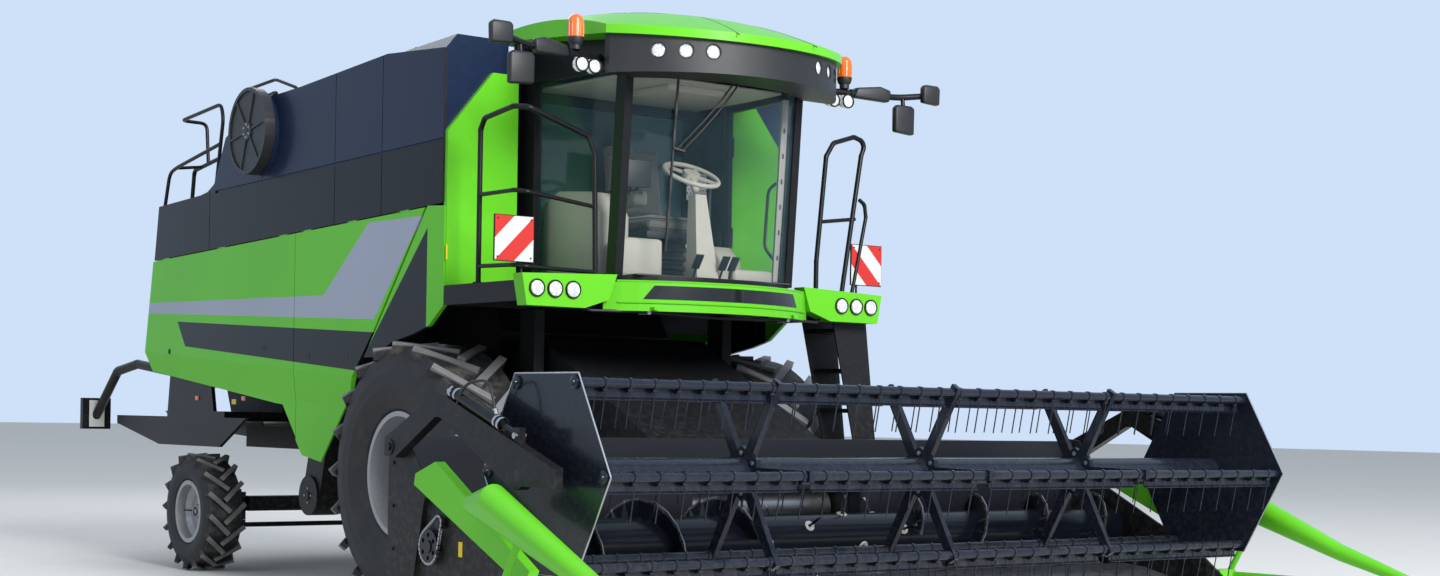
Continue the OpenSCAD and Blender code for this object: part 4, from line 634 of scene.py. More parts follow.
# %% A tree of geometry nodes
class Growth(Graph):
    def __init__(self, name, takes_path=False, **inputs):
        super().__init__(bpy.data.node_groups.new(name, "GeometryNodeTree"))
        face, self.names = self.tree.interface, {}
        face.new_socket("Geometry", in_out="OUTPUT", socket_type="NodeSocketGeometry")
        if takes_path:
            face.new_socket("Path", in_out="INPUT", socket_type="NodeSocketGeometry")
        inputs = dict(inputs, Place=(0.0, 0.0, 0.0), Turn=(0.0, 0.0, 0.0), Finish=None)
        for label, default in inputs.items():
            kind = ("Material" if default is None else "Int" if isinstance(default, int) else
                    "Vector" if isinstance(default, tuple) else "Float")
            socket = face.new_socket(label, in_out="INPUT", socket_type="NodeSocket" + kind)
            if default is not None:
                socket.default_value = default
            self.names[label] = socket.identifier
        self.entry = self.node("NodeGroupInput")

    def __getitem__(self, label):
        return self.entry[label]

    def geo(self, kind, **inputs):
        """A geometry node's first output; its inputs are written with _ for a space."""
        return self.node("GeometryNode" + kind, {key.replace("_", " "): value for key, value in inputs.items()})[0]

    def row(self):
        """Points along x, as many as Count and as far apart as Pitch."""
        step = self.node("ShaderNodeCombineXYZ", {0: self["Pitch"]})[0]
        return self.node("GeometryNodeMeshLine", {"Count": self["Count"], "Offset": step}, mode="OFFSET")[0]

    def join(self, *parts):
        joined = self.tree.nodes.new("GeometryNodeJoinGeometry")
        for part in parts:
            self.tree.links.new(part.socket, joined.inputs[0])
        return Value(self, joined.outputs[0])

    def rod(self, sides, radius, depth, place=(0, 0, 0), turn=(0, 0, 0)):
        return self.moved(self.geo("MeshCylinder", Vertices=sides, Radius=radius, Depth=depth), place, turn)

    def moved(self, shape, place=(0, 0, 0), turn=(0, 0, 0), scale=(1, 1, 1)):
        return self.geo("Transform", Geometry=shape, Translation=place, Rotation=turn, Scale=scale)

    def repeat(self, points, shape, **more):
        """Ends the tree: the shape at every point, real, in place and with its finish."""
        copies = self.geo("InstanceOnPoints", Points=points, Instance=shape, **more)
        placed = self.moved(self.geo("RealizeInstances", Geometry=copies), self["Place"], self["Turn"])
        self.node("NodeGroupOutput", {0: self.geo("SetMaterial", Geometry=placed, Material=self["Finish"])})

    def grow(self, name, body, finish, path=(), **values):
        mesh = bpy.data.meshes.new(name)
        mesh.from_pydata(path, [(i, i + 1) for i in range(len(path) - 1)], [])
        obj = stand(name, mesh)
        step = obj.modifiers.new("growth", "NODES")
        step.node_group = self.tree
        for label, value in dict(values, Finish=finishes[finish]).items():
            step[self.names[label]] = tuple(value) if isinstance(value, Vector) else value
        return settle(bake(obj), body)


SIDEWAYS = (0.0, pi / 2, 0.0)
bolts = Growth("bolt_ring", Count=8, Ring=0.1, Head=0.01, Tall=0.012)
circle = bolts.geo("MeshCircle", Vertices=bolts["Count"], Radius=bolts["Ring"])
head = bolts.rod(6, bolts["Head"], bolts["Tall"])
bolts.repeat(circle, bolts.join(head, bolts.rod(16, bolts["Head"] * 1.4, bolts["Tall"] * 0.35)))


def bolt_ring(name, body, count, ring, size, tall, place):
    """A ring of bolt heads with washers round an axis across the machine; ring and size are radii in millimetres."""
    bolts.grow(name, body, "bare_steel", Count=count, Ring=ring / 1000, Head=size / 1000, Tall=tall / 1000,
               Place=at(*place), Turn=SIDEWAYS)


print("bolt ring inputs", list(bolts.names))

# %% [markdown]
# ## Wheels
# Each wheel has a ring of nuts on its disc, a domed cap over the hub with bolts round it, two stiffening rings in the
# dish and a valve. The nuts and bolts are Geometry Nodes rings; the cap is a turned shape.

# %% Wheel dressing
for s, side in ((-1, "right"), (1, "left")):
    for end, (wx, wy, wz), disc, rim_r, hub_r, cap, nuts in (
            ("front", FRONT, 14, 406, 150, 92, 10), ("rear", REAR, 34, 232, 85, 52, 8)):
        body, face, k = f"{end}_wheel_{side}", s * (wx + disc), cap / 92
        bolt_ring(f"{body}_nuts", body, nuts, hub_r * 0.78, hub_r * 0.09, 34, (face, wy, wz))
        bolt_ring(f"{body}_cap_bolts", body, 6, cap * 0.78, cap * 0.08, 12, (face + s * 66 * k, wy, wz))
        hub = Shape().turned((face, wy, wz), (s, 0, 0), [
            (0, 74 * k), (cap * 0.3, 73 * k), (cap * 0.62, 66 * k), (cap * 0.94, 62 * k), (cap, 54 * k), (cap, 8),
            (cap * 1.16, 4), (cap * 1.16, 0), (0, 0)], 40)
        make(f"{body}_cap", hub, "rim_paint", body, smooth=30)
        rings = Shape()
        for r, h, w in ((rim_r * 0.62, 2, 10), (rim_r * 0.735, 0, 8)):
            rings.tube([(face + s * h, wy + r * cos(a), wz + r * sin(a)) for a in around(64)], w, 8, closed=True)
        make(f"{body}_dish_rings", rings, "rim_paint", body)
        valve = [(face + s * h, wy + rim_r * r, wz + up) for h, r, up in ((2, 0.70, 0), (30, 0.72, 0), (62, 0.76, 4))]
        make(f"{body}_valve", Shape().tube(valve, 11, 8), "gloss_black", body)
print("wheels dressed")

# %% [markdown]
# ## Lamps
# The pods on the bumper, the mirror arms and the visor under the roof carry round lamps. A lamp is drawn as it is
# made: a bezel ring and a faceted lens, with a domed shell behind it where one sees its back.

# %% Lamps
AHEAD, BACK, OUT = (0, -1, 0), (0, 1, 0), (1, 0, 0)


def arm_y(x):
    """How far ahead the mirror arm's axis lies, at x from the machine's middle."""
    return -1350 - (x - 900) * 120 / 660


pods, arm_lamps, visor = Shape(), Shape(), Shape()
for x in (1120, 1255, 1390):
    pods.bezel((x, -1399, 2110), AHEAD, 45, 58, 17)
    pods.lens((x, -1412, 2110), AHEAD, 44, 7)
make("pod_lamp_faces", pods, ["gloss_black", "lamp_glass"], both=True)
for x in (1000, 1110):
    y = arm_y(x) - 60
    arm_lamps.bezel((x, y + 2, 3530), AHEAD, 40, 50, 13)
    arm_lamps.lens((x, y, 3530), AHEAD, 40, 8)
    arm_lamps.turned((x, y + 62, 3530), BACK, [(40, -20), (36, 0), (26, 18), (14, 30), (0, 32)], 28)
make("arm_lamp_faces", arm_lamps, ["gloss_black", "lamp_glass"], both=True)


def on_visor(angle, inward):
    """A point on the visor's round front, at an angle from straight ahead, and the direction that it faces."""
    a, reach = radians(angle - 90), 1115 - inward
    return (reach * cos(a), reach * sin(a) - 900, 3625), (cos(a), sin(a), 0)


for angle in (-41, -32, -23, 23, 32, 41):
    visor.lens(*on_visor(angle, 13), 41, 6)
    visor.bezel(*on_visor(angle, 2), 43, 52, 5)
make("visor_lamp_faces", visor, ["black_plastic", "lamp_glass"])
print("front lamps", 6 + 4 + 6)

# %% [markdown]
# ## Beacons
# An amber beacon has a ribbed dome on a black foot. The CAD has the dome; the foot is turned, the ribs are thin tubes.

# %% Beacon feet
feet = Shape()
for x in (-1123, 1123):
    y, z = arm_y(1123), 3622
    feet.turned((x, y, z), UP, [(26, 0), (34, 4), (34, 30), (46, 44), (53, 70), (53, 80), (48, 84), (30, 84), (22, 60),
                                (22, 0)], 36)
    for a in around(12):
        feet.tube([(x + 50.5 * cos(a), y + 50.5 * sin(a), z + h) for h in (84, 170)], 4, 6, 1)
make("beacon_feet", feet, ["black_plastic", "amber_plastic"])
print("beacon feet", 2)

# %% [markdown]
# ## Wiper
# One tall blade sweeps the bulged windscreen. Two parallel arms hold it upright, so that it wipes a wide field. The
# glass leans and is part of a cylinder, so one function gives the point on it at a width and a height.

# %% Wiper on the glass
def on_screen(x, z, off=0.0):
    """A point on the windscreen's outer face, a little off it."""
    return Vector((x, -432 - sqrt((1118 + off) ** 2 - x * x) - (z - 2230) * 0.0699, z))


def on_blade(t, off, lift=0):
    """A point over the wiper's blade, from 0 at its top to 1 at its foot."""
    return on_screen(-440 - t * 20, 3520 - t * 1130 + lift, off)


wiper = Shape()
wiper.tube([on_blade(t, 16) for t in along(24)], 15, 8)
wiper.tube([on_blade(t, 6) for t in along(24)], 9, 4)
for (x, z), (end_x, end_z) in (((-4, 3585), (-434, 3046)), ((26, 3570), (-396, 3040))):
    wiper.tube([on_screen(x + (end_x - x) * t, z + (end_z - z) * t, 26 + 26 * sin(pi * t)) for t in along(12)], 13, 8)
    wiper.turned(on_screen(x, z), AHEAD, [(22, -6), (22, 22), (14, 34), (14, 44), (0, 46)], 20)
wiper.tube([on_screen(-452, 3052, 24), on_screen(-380, 3034, 24)], 22, 8)
for t in (0.18, 0.34, 0.62, 0.8):
    wiper.tube([on_blade(t, 14, 40), on_blade(t, 14, -40)], 24, 6)
make("windscreen_wiper", wiper, "black_plastic", smooth=50)
print("wiper on the glass")

# %% [markdown]
# ## Inside the cab
# Through the glass one sees grey-beige moulded trim: side consoles, an armrest with a drive lever, a monitor,
# pedals, a ribbed mat and slotted covers on the front posts, with a pair of perforated plates by the left rear post.

# %% Cab trim
FLOOR = 2231
trim, liner, mat, posts, controls, plates = (Shape() for k in range(6))
trim.block((-650, -1235, FLOOR + 1), (-300, -1130, 2490))
trim.block((300, -1235, FLOOR + 1), (640, -1150, 2330))
trim.block((-600, -262, FLOOR + 1), (600, -200, 2640))
trim.plate(0, -700, [(-1060, FLOOR + 1), (-1060, 2640), (-940, 2800), (-560, 2830), (-380, 2760),
                     (-380, FLOOR + 1)], 250)
trim.plate(0, 470, [(-860, FLOOR + 1), (-860, 2420), (-740, 2520), (-380, 2520), (-380, FLOOR + 1)], 190)
make("cab_consoles", trim, "trim_plastic", bevel=24, smooth=60)
liner.plate(2, 3535, [(-640, -1300), (640, -1300), (690, -260), (-690, -260)], 22)
liner.block((-240, -1180, 3490), (240, -700, 3536))
make("cab_headliner", liner, "trim_plastic", bevel=14)
mat.plate(2, FLOOR + 0.5, [(-640, -1420), (640, -1420), (660, -560), (-440, -560)], 8)
for y in range(-1400, -600, 37):
    mat.block((-600, y, FLOOR + 8), (420, y + 12, FLOOR + 12))
make("cab_mat", mat, "dark_trim")

low, high = on_screen(690, 2260, -62), on_screen(668, 3500, -62)
wide, thick, slot_tall = Vector((-42, 12, 0)), Vector((18, 40, 0)), Vector((0, 0, 78))
posts.slab([low, low + wide, low + wide + thick, low + thick], high - low)
for k in range(6):
    p = low + (high - low) * (0.12 + 0.14 * k) + Vector((0, -3, 0))
    a, b = p + wide * 0.35, p + wide * 0.65
    posts.slab([a, b, b + slot_tall, a + slot_tall], (0, 5, 0), 1)
make("post_covers", posts, ["trim_plastic", "black_plastic"], smooth=40, both=True)

controls.tube([(-365, -1010, 2834), (-365, -1030, 2890), (-365, -1015, 2950)], 30, 12, bend=20)
controls.turned((-365, -1012, 2950), (0, -0.25, 1), [(16, 0), (30, 10), (34, 40), (26, 66), (0, 74)], 18)
controls.block((-420, -1000, 2831), (-310, -700, 2838))
controls.slab([(-560, -1130, 2830), (-560, -1130, 3010), (-360, -1170, 3010), (-360, -1170, 2830)], (8, 26, 0))
controls.tube([(-460, -1130, 2930), (-480, -1080, 2800), (-520, -1020, 2760)], 26, 8)
for x in (-150, 70, 150):
    controls.slab([(x, -1350, 2300), (x + 62, -1350, 2300), (x + 62, -1410, 2390), (x, -1410, 2390)], (0, 8, 6))
    controls.tube([(x + 30, -1372, 2330), (x + 30, -1330, 2250)], 16, 8)
controls.tube([(600, -620, 3020), (500, -700, 3020), (440, -760, 2900), (430, -770, 2560), (470, -740, 2520)], 24,
              bend=70)
controls.tube([(700, -1180, 2950), (660, -1140, 2900), (640, -1130, 2500), (690, -1170, 2420)], 22, bend=50)
make("cab_controls", controls, "black_plastic", bevel=3, smooth=50)
for z in (2470, 2880):
    plates.block((560, -330, z), (740, -322, z + 200))
make("cab_plates", plates, "drilled_sheet", bevel=2)
print("cab trimmed")

# %% [markdown]
# ## Bumper and marking boards
# The green bumper has a black inset band with raised edges, left bare. Outside the rails hang two square boards with
# red and white slanting bars, as wide machines carry.

# %% Inset and boards
def on_bumper(x, z, off):
    """A point off the bumper's round front."""
    return Vector((x, -360 - sqrt((1300 + off) ** 2 - x * x), z))


inset, beads, boards = Shape(), Shape(), Shape()
for a in range(-640, 640, 64):
    corners = ((a, 2072), (a + 64, 2072), ((a + 64) * 0.9, 2160), (a * 0.9, 2160))
    inset.add([on_bumper(*p, off) for off in (3, -6) for p in corners],
              [(0, 1, 2, 3), (7, 6, 5, 4), (0, 4, 5, 1), (3, 2, 6, 7), (0, 3, 7, 4), (1, 5, 6, 2)])
make("bumper_inset", inset, "gloss_black", smooth=30)
for z, off in ((2050, 4), (2186, -4)):
    beads.tube([on_bumper(-780 + 1560 * t, z, off) for t in along(40)], 14, 6)
make("bumper_beads", beads, "green_paint")
boards.block((1331, -1262, 2278), (1613, -1258, 2560))
boards.block((1326, -1258, 2273), (1618, -1250, 2565), 1)
boards.tube([(1400, -1246, 2420), (1400, -1235, 2420), (1400, -1235, 2170)], 16, 8, 1, bend=12)
for x, z in ((1350, 2300), (1594, 2300), (1350, 2540), (1594, 2540)):
    boards.turned((x, -1262, z), AHEAD, [(6, 0), (6, 3), (3, 4.5), (0, 5)], 12, 1)
make("marking_boards", boards, ["marking_board", "black_paint"], both=True)
print("bumper and boards done")

# %% [markdown]
# ## The reel
# Six bars turn with the reel and stay upright, so that their tines always hang. Each bar carries a clamp for every
# tine and a folded strip behind it. The clamps are a row grown by one tree; the strip stops short of every spider,
# so that it swings free of the arms.

# %% Clamps, strips and spiders
REEL_Y, REEL_Z, BARS_R, PLATE_R = -3420, 1020, 540, 594
SPIDERS = (-1325, 0, 1325)
FOLD = ((22, -14), (34, -20), (34, -72), (20, -84), (17, -80), (29, -70), (29, -24), (19, -18))
clamps = Growth("clamp_row", Count=33, Pitch=0.155, Size=0.03)
ear = clamps.moved(clamps.geo("MeshCube", Size=(0.016, 0.020, 0.036)), (0.0, 0.020, -0.028))
clamps.repeat(clamps.row(), clamps.join(
    clamps.rod(16, clamps["Size"], 0.020, turn=SIDEWAYS), ear,
    clamps.rod(6, 0.006, 0.030, (0.0, 0.020, -0.036), (pi / 2, 0.0, 0.0)),
    clamps.rod(10, 0.010, 0.030, (0.0, -0.004, -0.034), SIDEWAYS)))
for k, a in enumerate(around(6)):
    body, y, z = f"bar_{k + 1}", REEL_Y + BARS_R * cos(a), REEL_Z + BARS_R * sin(a)
    clamps.grow(f"{body}_clamps", body, "reel_paint", Place=at(-16 * 155 + 40, y, z))
    strip = Shape()
    for x0, x1 in ((-2590, -1372), (-1278, -47), (47, 1278), (1372, 2590)):
        strip.plate(0, x0, [(y + dy, z + dz) for dy, dz in FOLD], x1 - x0)
    for s in (-1, 1):
        strip.turned((s * 2615, y, z), (s, 0, 0), [(25, -2), (36, 3), (36, 12), (18, 16), (16, 24), (0, 26)], 24)
    make(f"{body}_strip", strip, "reel_paint", body)
flanges, rims = Shape(), Shape()
for x in SPIDERS:
    for s in (-1, 1):
        bolt_ring(f"spider_bolts_{x}_{s}", "reel", 6, 112, 10, 12, (x + s * 19, REEL_Y, REEL_Z))
        for a in around(6):
            u, v = Vector((0, cos(a), sin(a))), Vector((0, -sin(a), cos(a)))
            flanges.slab([Vector((x - 17, REEL_Y, REEL_Z)) + u * out + v * s * side for out, side in
                          ((120, 24), (490, 24), (490, 30), (120, 34))], (34, 0, 0))
make("spider_flanges", flanges, "reel_paint", "reel")
for s in (-1, 1):
    corners = [(s * 2614, REEL_Y + PLATE_R * cos(a), REEL_Z + PLATE_R * sin(a)) for a in around(6)]
    for ends in zip(corners, corners[1:] + corners[:1]):
        rims.tube(ends, 9, 6)
make("end_plate_rims", rims, "bare_steel", "reel")
print("reel dressed")

# %% [markdown]
# ## The auger's finger guides and the knife
# Every finger slides through a pale plastic guide in the auger's tube. Along the front edge runs the knife, a row of
# three-cornered steel sections that a second tree repeats at the guards' spacing.

# %% Guides and knife
guides = Shape()
for i in range(12):
    a = radians(105 * i)
    out = Vector((0, -sin(a), cos(a)))
    foot = Vector((-605 + i * 110, AUGER_Y, AUGER_Z)) + out * 130
    guides.bezel(foot, out, 11, 34, 12, 20)
    for x in (-27, 27):
        guides.turned(foot + out * 8 + Vector((x, 0, 0)), out, [(5, 0), (5, 5), (0, 6)], 8)
make("finger_guides", guides, "pale_plastic", "auger")
knife = Growth("knife_row", Count=68, Pitch=0.0762, Wide=0.036)
tooth = knife.moved(knife.geo("MeshCone", Vertices=4, Radius_Top=0.0, Radius_Bottom=knife["Wide"], Depth=0.085),
                    (0.0, -0.085, 0.0), (pi / 2, 0.0, 0.0), (1.0, 1.0, 0.08))
knife.repeat(knife.row(), knife.join(tooth, knife.rod(8, 0.006, 0.008, (0.018, -0.02, 0.003))))
knife.grow("knife_sections", "header", "bare_steel", Count=67, Place=at(-33 * 76.2 - 38, -3240, 236))
print("knife inputs", list(knife.names))

# %% [markdown]
# ## The header's drive side
# On the right end a roller chain runs from the idler down to the auger's sprocket, partly behind a guard. The links
# follow a closed path: the tree turns the path into points at the chain's pitch and lays a link on each.

# %% Chain, bolts and edge strips of the side sheets
chain = Growth("chain_run", takes_path=True, Pitch=0.0254)
beads_on = chain.node("GeometryNodeCurveToPoints", {"Curve": chain.geo("MeshToCurve", Mesh=chain["Path"]),
                                                    "Length": chain["Pitch"]}, mode="LENGTH")
cheek = chain.geo("MeshCube", Size=(0.003, 0.012, 0.021))
link = chain.join(chain.moved(cheek, (0.006, 0.0, 0.0)), chain.moved(cheek, (-0.006, 0.0, 0.0)),
                  chain.rod(8, 0.005, 0.018, turn=SIDEWAYS))
chain.repeat(beads_on["Points"], link, Rotation=chain.node(
    "FunctionNodeAlignRotationToVector", {"Vector": beads_on["Tangent"]}, axis="Z")[0])


def loop_round(circles, x):
    """A belt path round circles given as (y, z, radius), all turning the same way."""
    def leave(a, b):
        y, z = b[0] - a[0], b[1] - a[1]
        return atan2(z, y) - pi / 2 + asin((a[2] - b[2]) / hypot(y, z))

    path = []
    for before, here, after in zip(circles[-1:] + circles, circles, circles[1:] + circles[:1]):
        (y, z, r), start, end = here, leave(before, here), leave(here, after)
        while end < start:
            end += 2 * pi
        path += [at(x, y + r * cos(start + (end - start) * t), z + r * sin(start + (end - start) * t))
                 for t in along(14)]
    return path + [path[0]]


chain.grow("auger_drive_chain", "header", "bare_steel",
           loop_round([(AUGER_Y, AUGER_Z, 95), (-2600, 735, 34)], -2752))
sheet, blank = Shape(), Shape()
outline = [(2716, -1980, 1122), (2716, -2060, 1202), (2716, -2180, 1192), (2716, -2376, 962)]
for ends in zip(outline, outline[1:]):
    sheet.tube(ends, 14, 6)
for y, z in ((-2040, 330), (-2040, 560), (-2040, 800), (-2040, 1040), (-2700, 260), (-2950, 260), (-3200, 260),
             (-2250, 330)):
    sheet.turned((2719, y, z), OUT, [(14, 0), (14, 3), (9, 3), (9, 10), (0, 10)], 6)
sheet.turned((2786, -2110, 1130), OUT, [(44, 0), (44, 6), (22, 8), (22, 18), (0, 18)], 24)
make("side_sheet_fittings", sheet, "black_paint", "header", both=True)
blank.block((-2722, -2800, 560), (-2720.5, -2760, 640))
make("blank_plates_header", blank, "yellow_blank", "header", both=True)

# %% [markdown]
# ## Lift cylinders and their hoses
# Each reel arm is lifted by a cylinder with bright fittings. A hose feeds it. Both ends of a hose are held, so it is
# a fixed length bent in one smooth curve.

# %% Cylinder fittings and hoses
CYLINDER_X, FOOT, HEAD = 2756, (-2745, 1437), (-3400, 1214)
fittings = Shape()
down = (0, HEAD[0] - FOOT[0], HEAD[1] - FOOT[1])
for y, z, r in ((-2745, 1437, 37), (-2790, 1422, 36), (-3190, 1286, 36), (-3228, 1273, 37)):
    fittings.bezel((CYLINDER_X, y, z), down, 31, r, 16, 28)
fittings.tube([(CYLINDER_X, -3180, 1318), (CYLINDER_X, -3165, 1346)], 22, 12)
for y, z in (HEAD, FOOT):
    fittings.turned((CYLINDER_X, y, z), OUT, [(0, -34), (16, -34), (16, 34), (0, 34)], 20)
make("cylinder_fittings", fittings, "bare_steel", "reel_frame", both=True)


def hose(name, corners, diameter, body, bend):
    """A rubber hose through the corners."""
    path = rounded(corners, bend, 7)
    obj = make(name, Shape().tube(path, diameter, 12), "hose_rubber", body, smooth=60)
    points = [at(*p) for p in path]


for s, side in ((-1, "right"), (1, "left")):
    x = s * CYLINDER_X
    hose(f"lift_hose_{side}", [(x, -3165, 1340), (x + s * 4, -3110, 1500), (x + s * 30, -2900, 1480),
                               (x + s * 20, -2790, 1330)], 16, "reel_frame", 160)

# %% [markdown]
# ## Mirrors on their arms
# The mirror heads are rounded plastic shells on bent steel arms, with the glass facing back to the driver and a
# moulded casing where the arm folds. They replace the plain CAD heads in the same places.

# %% Mirrors
arms, heads, glasses = Shape(), Shape(), Shape()
ARM_Z = 3600
arms.tube([(757, -1240, ARM_Z), (790, -1240, ARM_Z), (900, arm_y(900), ARM_Z), (1560, arm_y(1560), ARM_Z),
           (1760, -1540, 3625)], 44, 14, bend=60)
arms.tube([(1590, -1481, ARM_Z), (1590, -1490, 3535)], 30, 12)
arms.tube([(1770, -1541, 3610), (1778, -1560, 3660)], 26)
for x in (920, 1180, 1460):
    arms.tube([(x - 11, arm_y(x) + 2, ARM_Z), (x + 11, arm_y(x) - 2, ARM_Z)], 56, 16)
heads.plate(1, -1519, [(1502, 3352), (1678, 3340), (1680, 3530), (1650, 3545), (1520, 3545), (1500, 3520)], 52)
heads.plate(1, -1589, [(1702, 3570), (1855, 3561), (1860, 3680), (1835, 3699), (1720, 3699), (1700, 3680)], 52)
heads.slab([(x, arm_y(x) - ahead, z) for x, ahead, z in
            ((1190, 30, 3570), (1470, 33, 3556), (1480, 33, 3640), (1400, 32, 3662), (1210, 30, 3640))], (0, 62, 0))
glasses.plate(1, -1467, [(1514, 3364), (1666, 3354), (1668, 3520), (1524, 3532)], 3)
glasses.plate(1, -1537, [(1712, 3580), (1846, 3572), (1848, 3676), (1722, 3688)], 3)
arms_made = make("mirror_arms", arms, "black_paint", smooth=60, both=True)
make("mirror_heads", heads, "black_plastic", bevel=16, smooth=60, both=True)
make("mirror_faces", glasses, "mirror_glass", both=True)
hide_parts("mirrors")
print("mirrors replaced")

# %% [markdown]
# ## Seams, latches and edge trim of the body
# The moulded roof has two seams, the tank a dark edge strip with small hinges at its front corner, and each side
# panel a pair of recessed latches. The latches ride on their own panel.

# %% Body trim
def on_roof(x, y):
    """A point just under the roof's domed face."""
    return Vector((x, y, 550 + sqrt(3498.5 ** 2 - x * x - (y + 620) ** 2)))


seams, strip, markers, blank = (Shape() for k in range(4))
for s in (-1, 1):
    seams.tube([on_roof(s * (215 + 105 * t), -1500 - 540 * t) for t in along(10)], 7, 6)
    seams.tube([on_roof(s * 560, -1150 + 760 * t) for t in along(8)], 7, 6)
seams.tube([on_roof(-540 + 1080 * t, -1150) for t in along(16)], 7, 6)
make("roof_seams", seams, "black_plastic")
strip.block((1452, -366, 2712), (1469, -359, 3724))
for z in (2800, 3080, 3360, 3640):
    strip.tube([(1471, -362, z), (1471, -362, z + 52)], 10)
make("tank_edge_strip", strip, "dark_paint", both=True)
for s, side in ((-1, "right"), (1, "left")):
    for end, ys, z in (("front", (960, 1560), 1720), ("rear", (2300, 4100), 1790)):
        body = f"panel_{end}_{side}"
        latch = Shape()
        for y in ys:
            latch.bezel((s * 1469.6, y, z), (s, 0, 0), 15, 24, 4, 28)
            latch.turned((s * 1469, y, z), (s, 0, 0), [(14, 0), (14, 2), (0, 2.5)], 20)
            latch.block((s * 1470 - 2, y - 3, z - 10), (s * 1470 + 4, y + 3, z + 10))
        make(f"{body}_latches", latch, "black_plastic", body)
markers.block((1438, -112, 1948), (1444, -22, 2138))
markers.block((1440, -105, 1955), (1462, -30, 2030), 1)
markers.block((1440, -100, 2045), (1454, -35, 2130), 2)
for y in (3000, 3900):
    markers.block((1291, y, 1390), (1297, y + 70, 1425), 1)
make("side_markers", markers, ["black_plastic", "amber_plastic", "pale_plastic"], bevel=2, both=True)
blank.block((1456, -412, 2330), (1468, -408.6, 2430))
blank.block((1291, 3180, 1360), (1292.4, 3260, 1400))
make("blank_plates_body", blank, "yellow_blank", both=True)
print("body trimmed")

# %% [markdown]
# ## Rear lamps
# The marker arms end in plates with a stop lamp, a turn lamp and a reflector on their back, bare on the front.

# %% Lamp plates
rear = Shape()
for x in (-1360, 1360):
    for z, r, mark in ((1345, 34, 1), (1260, 34, 2), (1180, 26, 1)):
        rear.bezel((x, 6050, z), BACK, r, r + 7, 10, 32)
        rear.lens((x, 6050, z), BACK, r, 9, mark)
    rear.block((x - 70, 5986, 1140), (x + 70, 5989, 1380), 3)
make("rear_lamps", rear, ["black_plastic", "red_lens", "amber_plastic", "pale_plastic"])
print("rear lamps", 2 * 3)

# %% [markdown]
# ## The rear wall and the pipes under the cab
# The engine breathes out through a louvre in the rear wall. The straw hood has pressed ribs, two grab handles and a
# bare number plate holder. Three thin pipes cross under the cab on the bumper's brackets.

# %% Louvre, ribs and pipes
def on_rear_wall(x, z, off=-4.0):
    """A point on the leaning rear wall, sunk into it unless off says otherwise."""
    return Vector((x, 4450 - (z - 2555) * 0.1733 + off, z))


def on_hood(x, t, off):
    """A point on the straw hood's upper rear slope, 0 at its foot and 1 at its top."""
    return Vector((x, 5060 - 360 * t, 2150 + 390 * t)) + Vector((0, 0.735, 0.678)) * off


louvre, ribs, grips, wall_lamps, pipes = (Shape() for k in range(5))
for z in range(2630, 2903, 34):
    a, b = on_rear_wall(-640, z), on_rear_wall(-640, z + 26)
    louvre.slab([a, a + Vector((0, 22, -6)), a + Vector((0, 24, -2)), b + Vector((0, 2, 0)), b], (1280, 0, 0))
for x, low, high, wide in ((-660, 2610, 2950, 20), (640, 2610, 2950, 20), (-660, 2600, 2618, 1320),
                           (-660, 2940, 2958, 1320)):
    louvre.slab([on_rear_wall(x, z, off) for z, off in ((low, -4), (low, 16), (high, 16), (high, -4))], (wide, 0, 0))
make("rear_louvre", louvre, "black_plastic", bevel=1.5)
for x in (-605, -325, -45, 235, 515):
    ribs.slab([on_hood(x, 0.14, -3), on_hood(x, 0.14, 8), on_hood(x, 0.86, 8), on_hood(x, 0.86, -3)], (90, 0, 0))
make("hood_ribs", ribs, "dark_paint", bevel=8, smooth=60)
for x in (-420, 420):
    grips.tube([(x + dx, y, 1900) for dx, y in ((-70, 5016.56), (-70, 5058.56), (70, 5058.56), (70, 5016.56))], 13,
               bend=18)
grips.slab([(-260, 5028, 1960), (260, 5028, 1960), (260, 5045, 2070), (-260, 5045, 2070)], (0, 8, 0), 1)
make("hood_grips", grips, ["black_paint", "pale_plastic"], smooth=50)
for x in (-1180, 1180):
    wall_lamps.bezel(on_rear_wall(x, 2850), (0, 1, 0.17), 48, 58, 26)
    wall_lamps.lens(on_rear_wall(x, 2850, 6), (0, 1, 0.17), 48, 8)
make("rear_wall_lamps", wall_lamps, ["black_plastic", "lamp_glass"])
for y, z, wide in ((0, 0, 20), (34, 3, 14), (60, 3, 14)):
    half = [(1000, -1330 + y, 2040), (960, -1335 + y, 1991 + z), (600, -1450 + y, 1991 + z)]
    pipes.tube([(-a, b, c) for a, b, c in half] + [(0, -1480 + y, 1972 + z)] + half[::-1], wide, bend=60)
for x in (-580, 580):
    pipes.block((x - 12, -1478, 1976), (x + 12, -1376, 2001), 1)
make("cab_pipes", pipes, ["black_plastic", "bare_steel"], smooth=50)
print("rear wall and pipes done")

# %% [markdown]
# ## Platforms, rail feet and the deck's edge rails
# The platforms are pressed with small round studs: a grid of points carries a stud each. The posts of the hand rails
# stand on bolted feet. The guard rails at the deck's right edge were placed from the photograph.

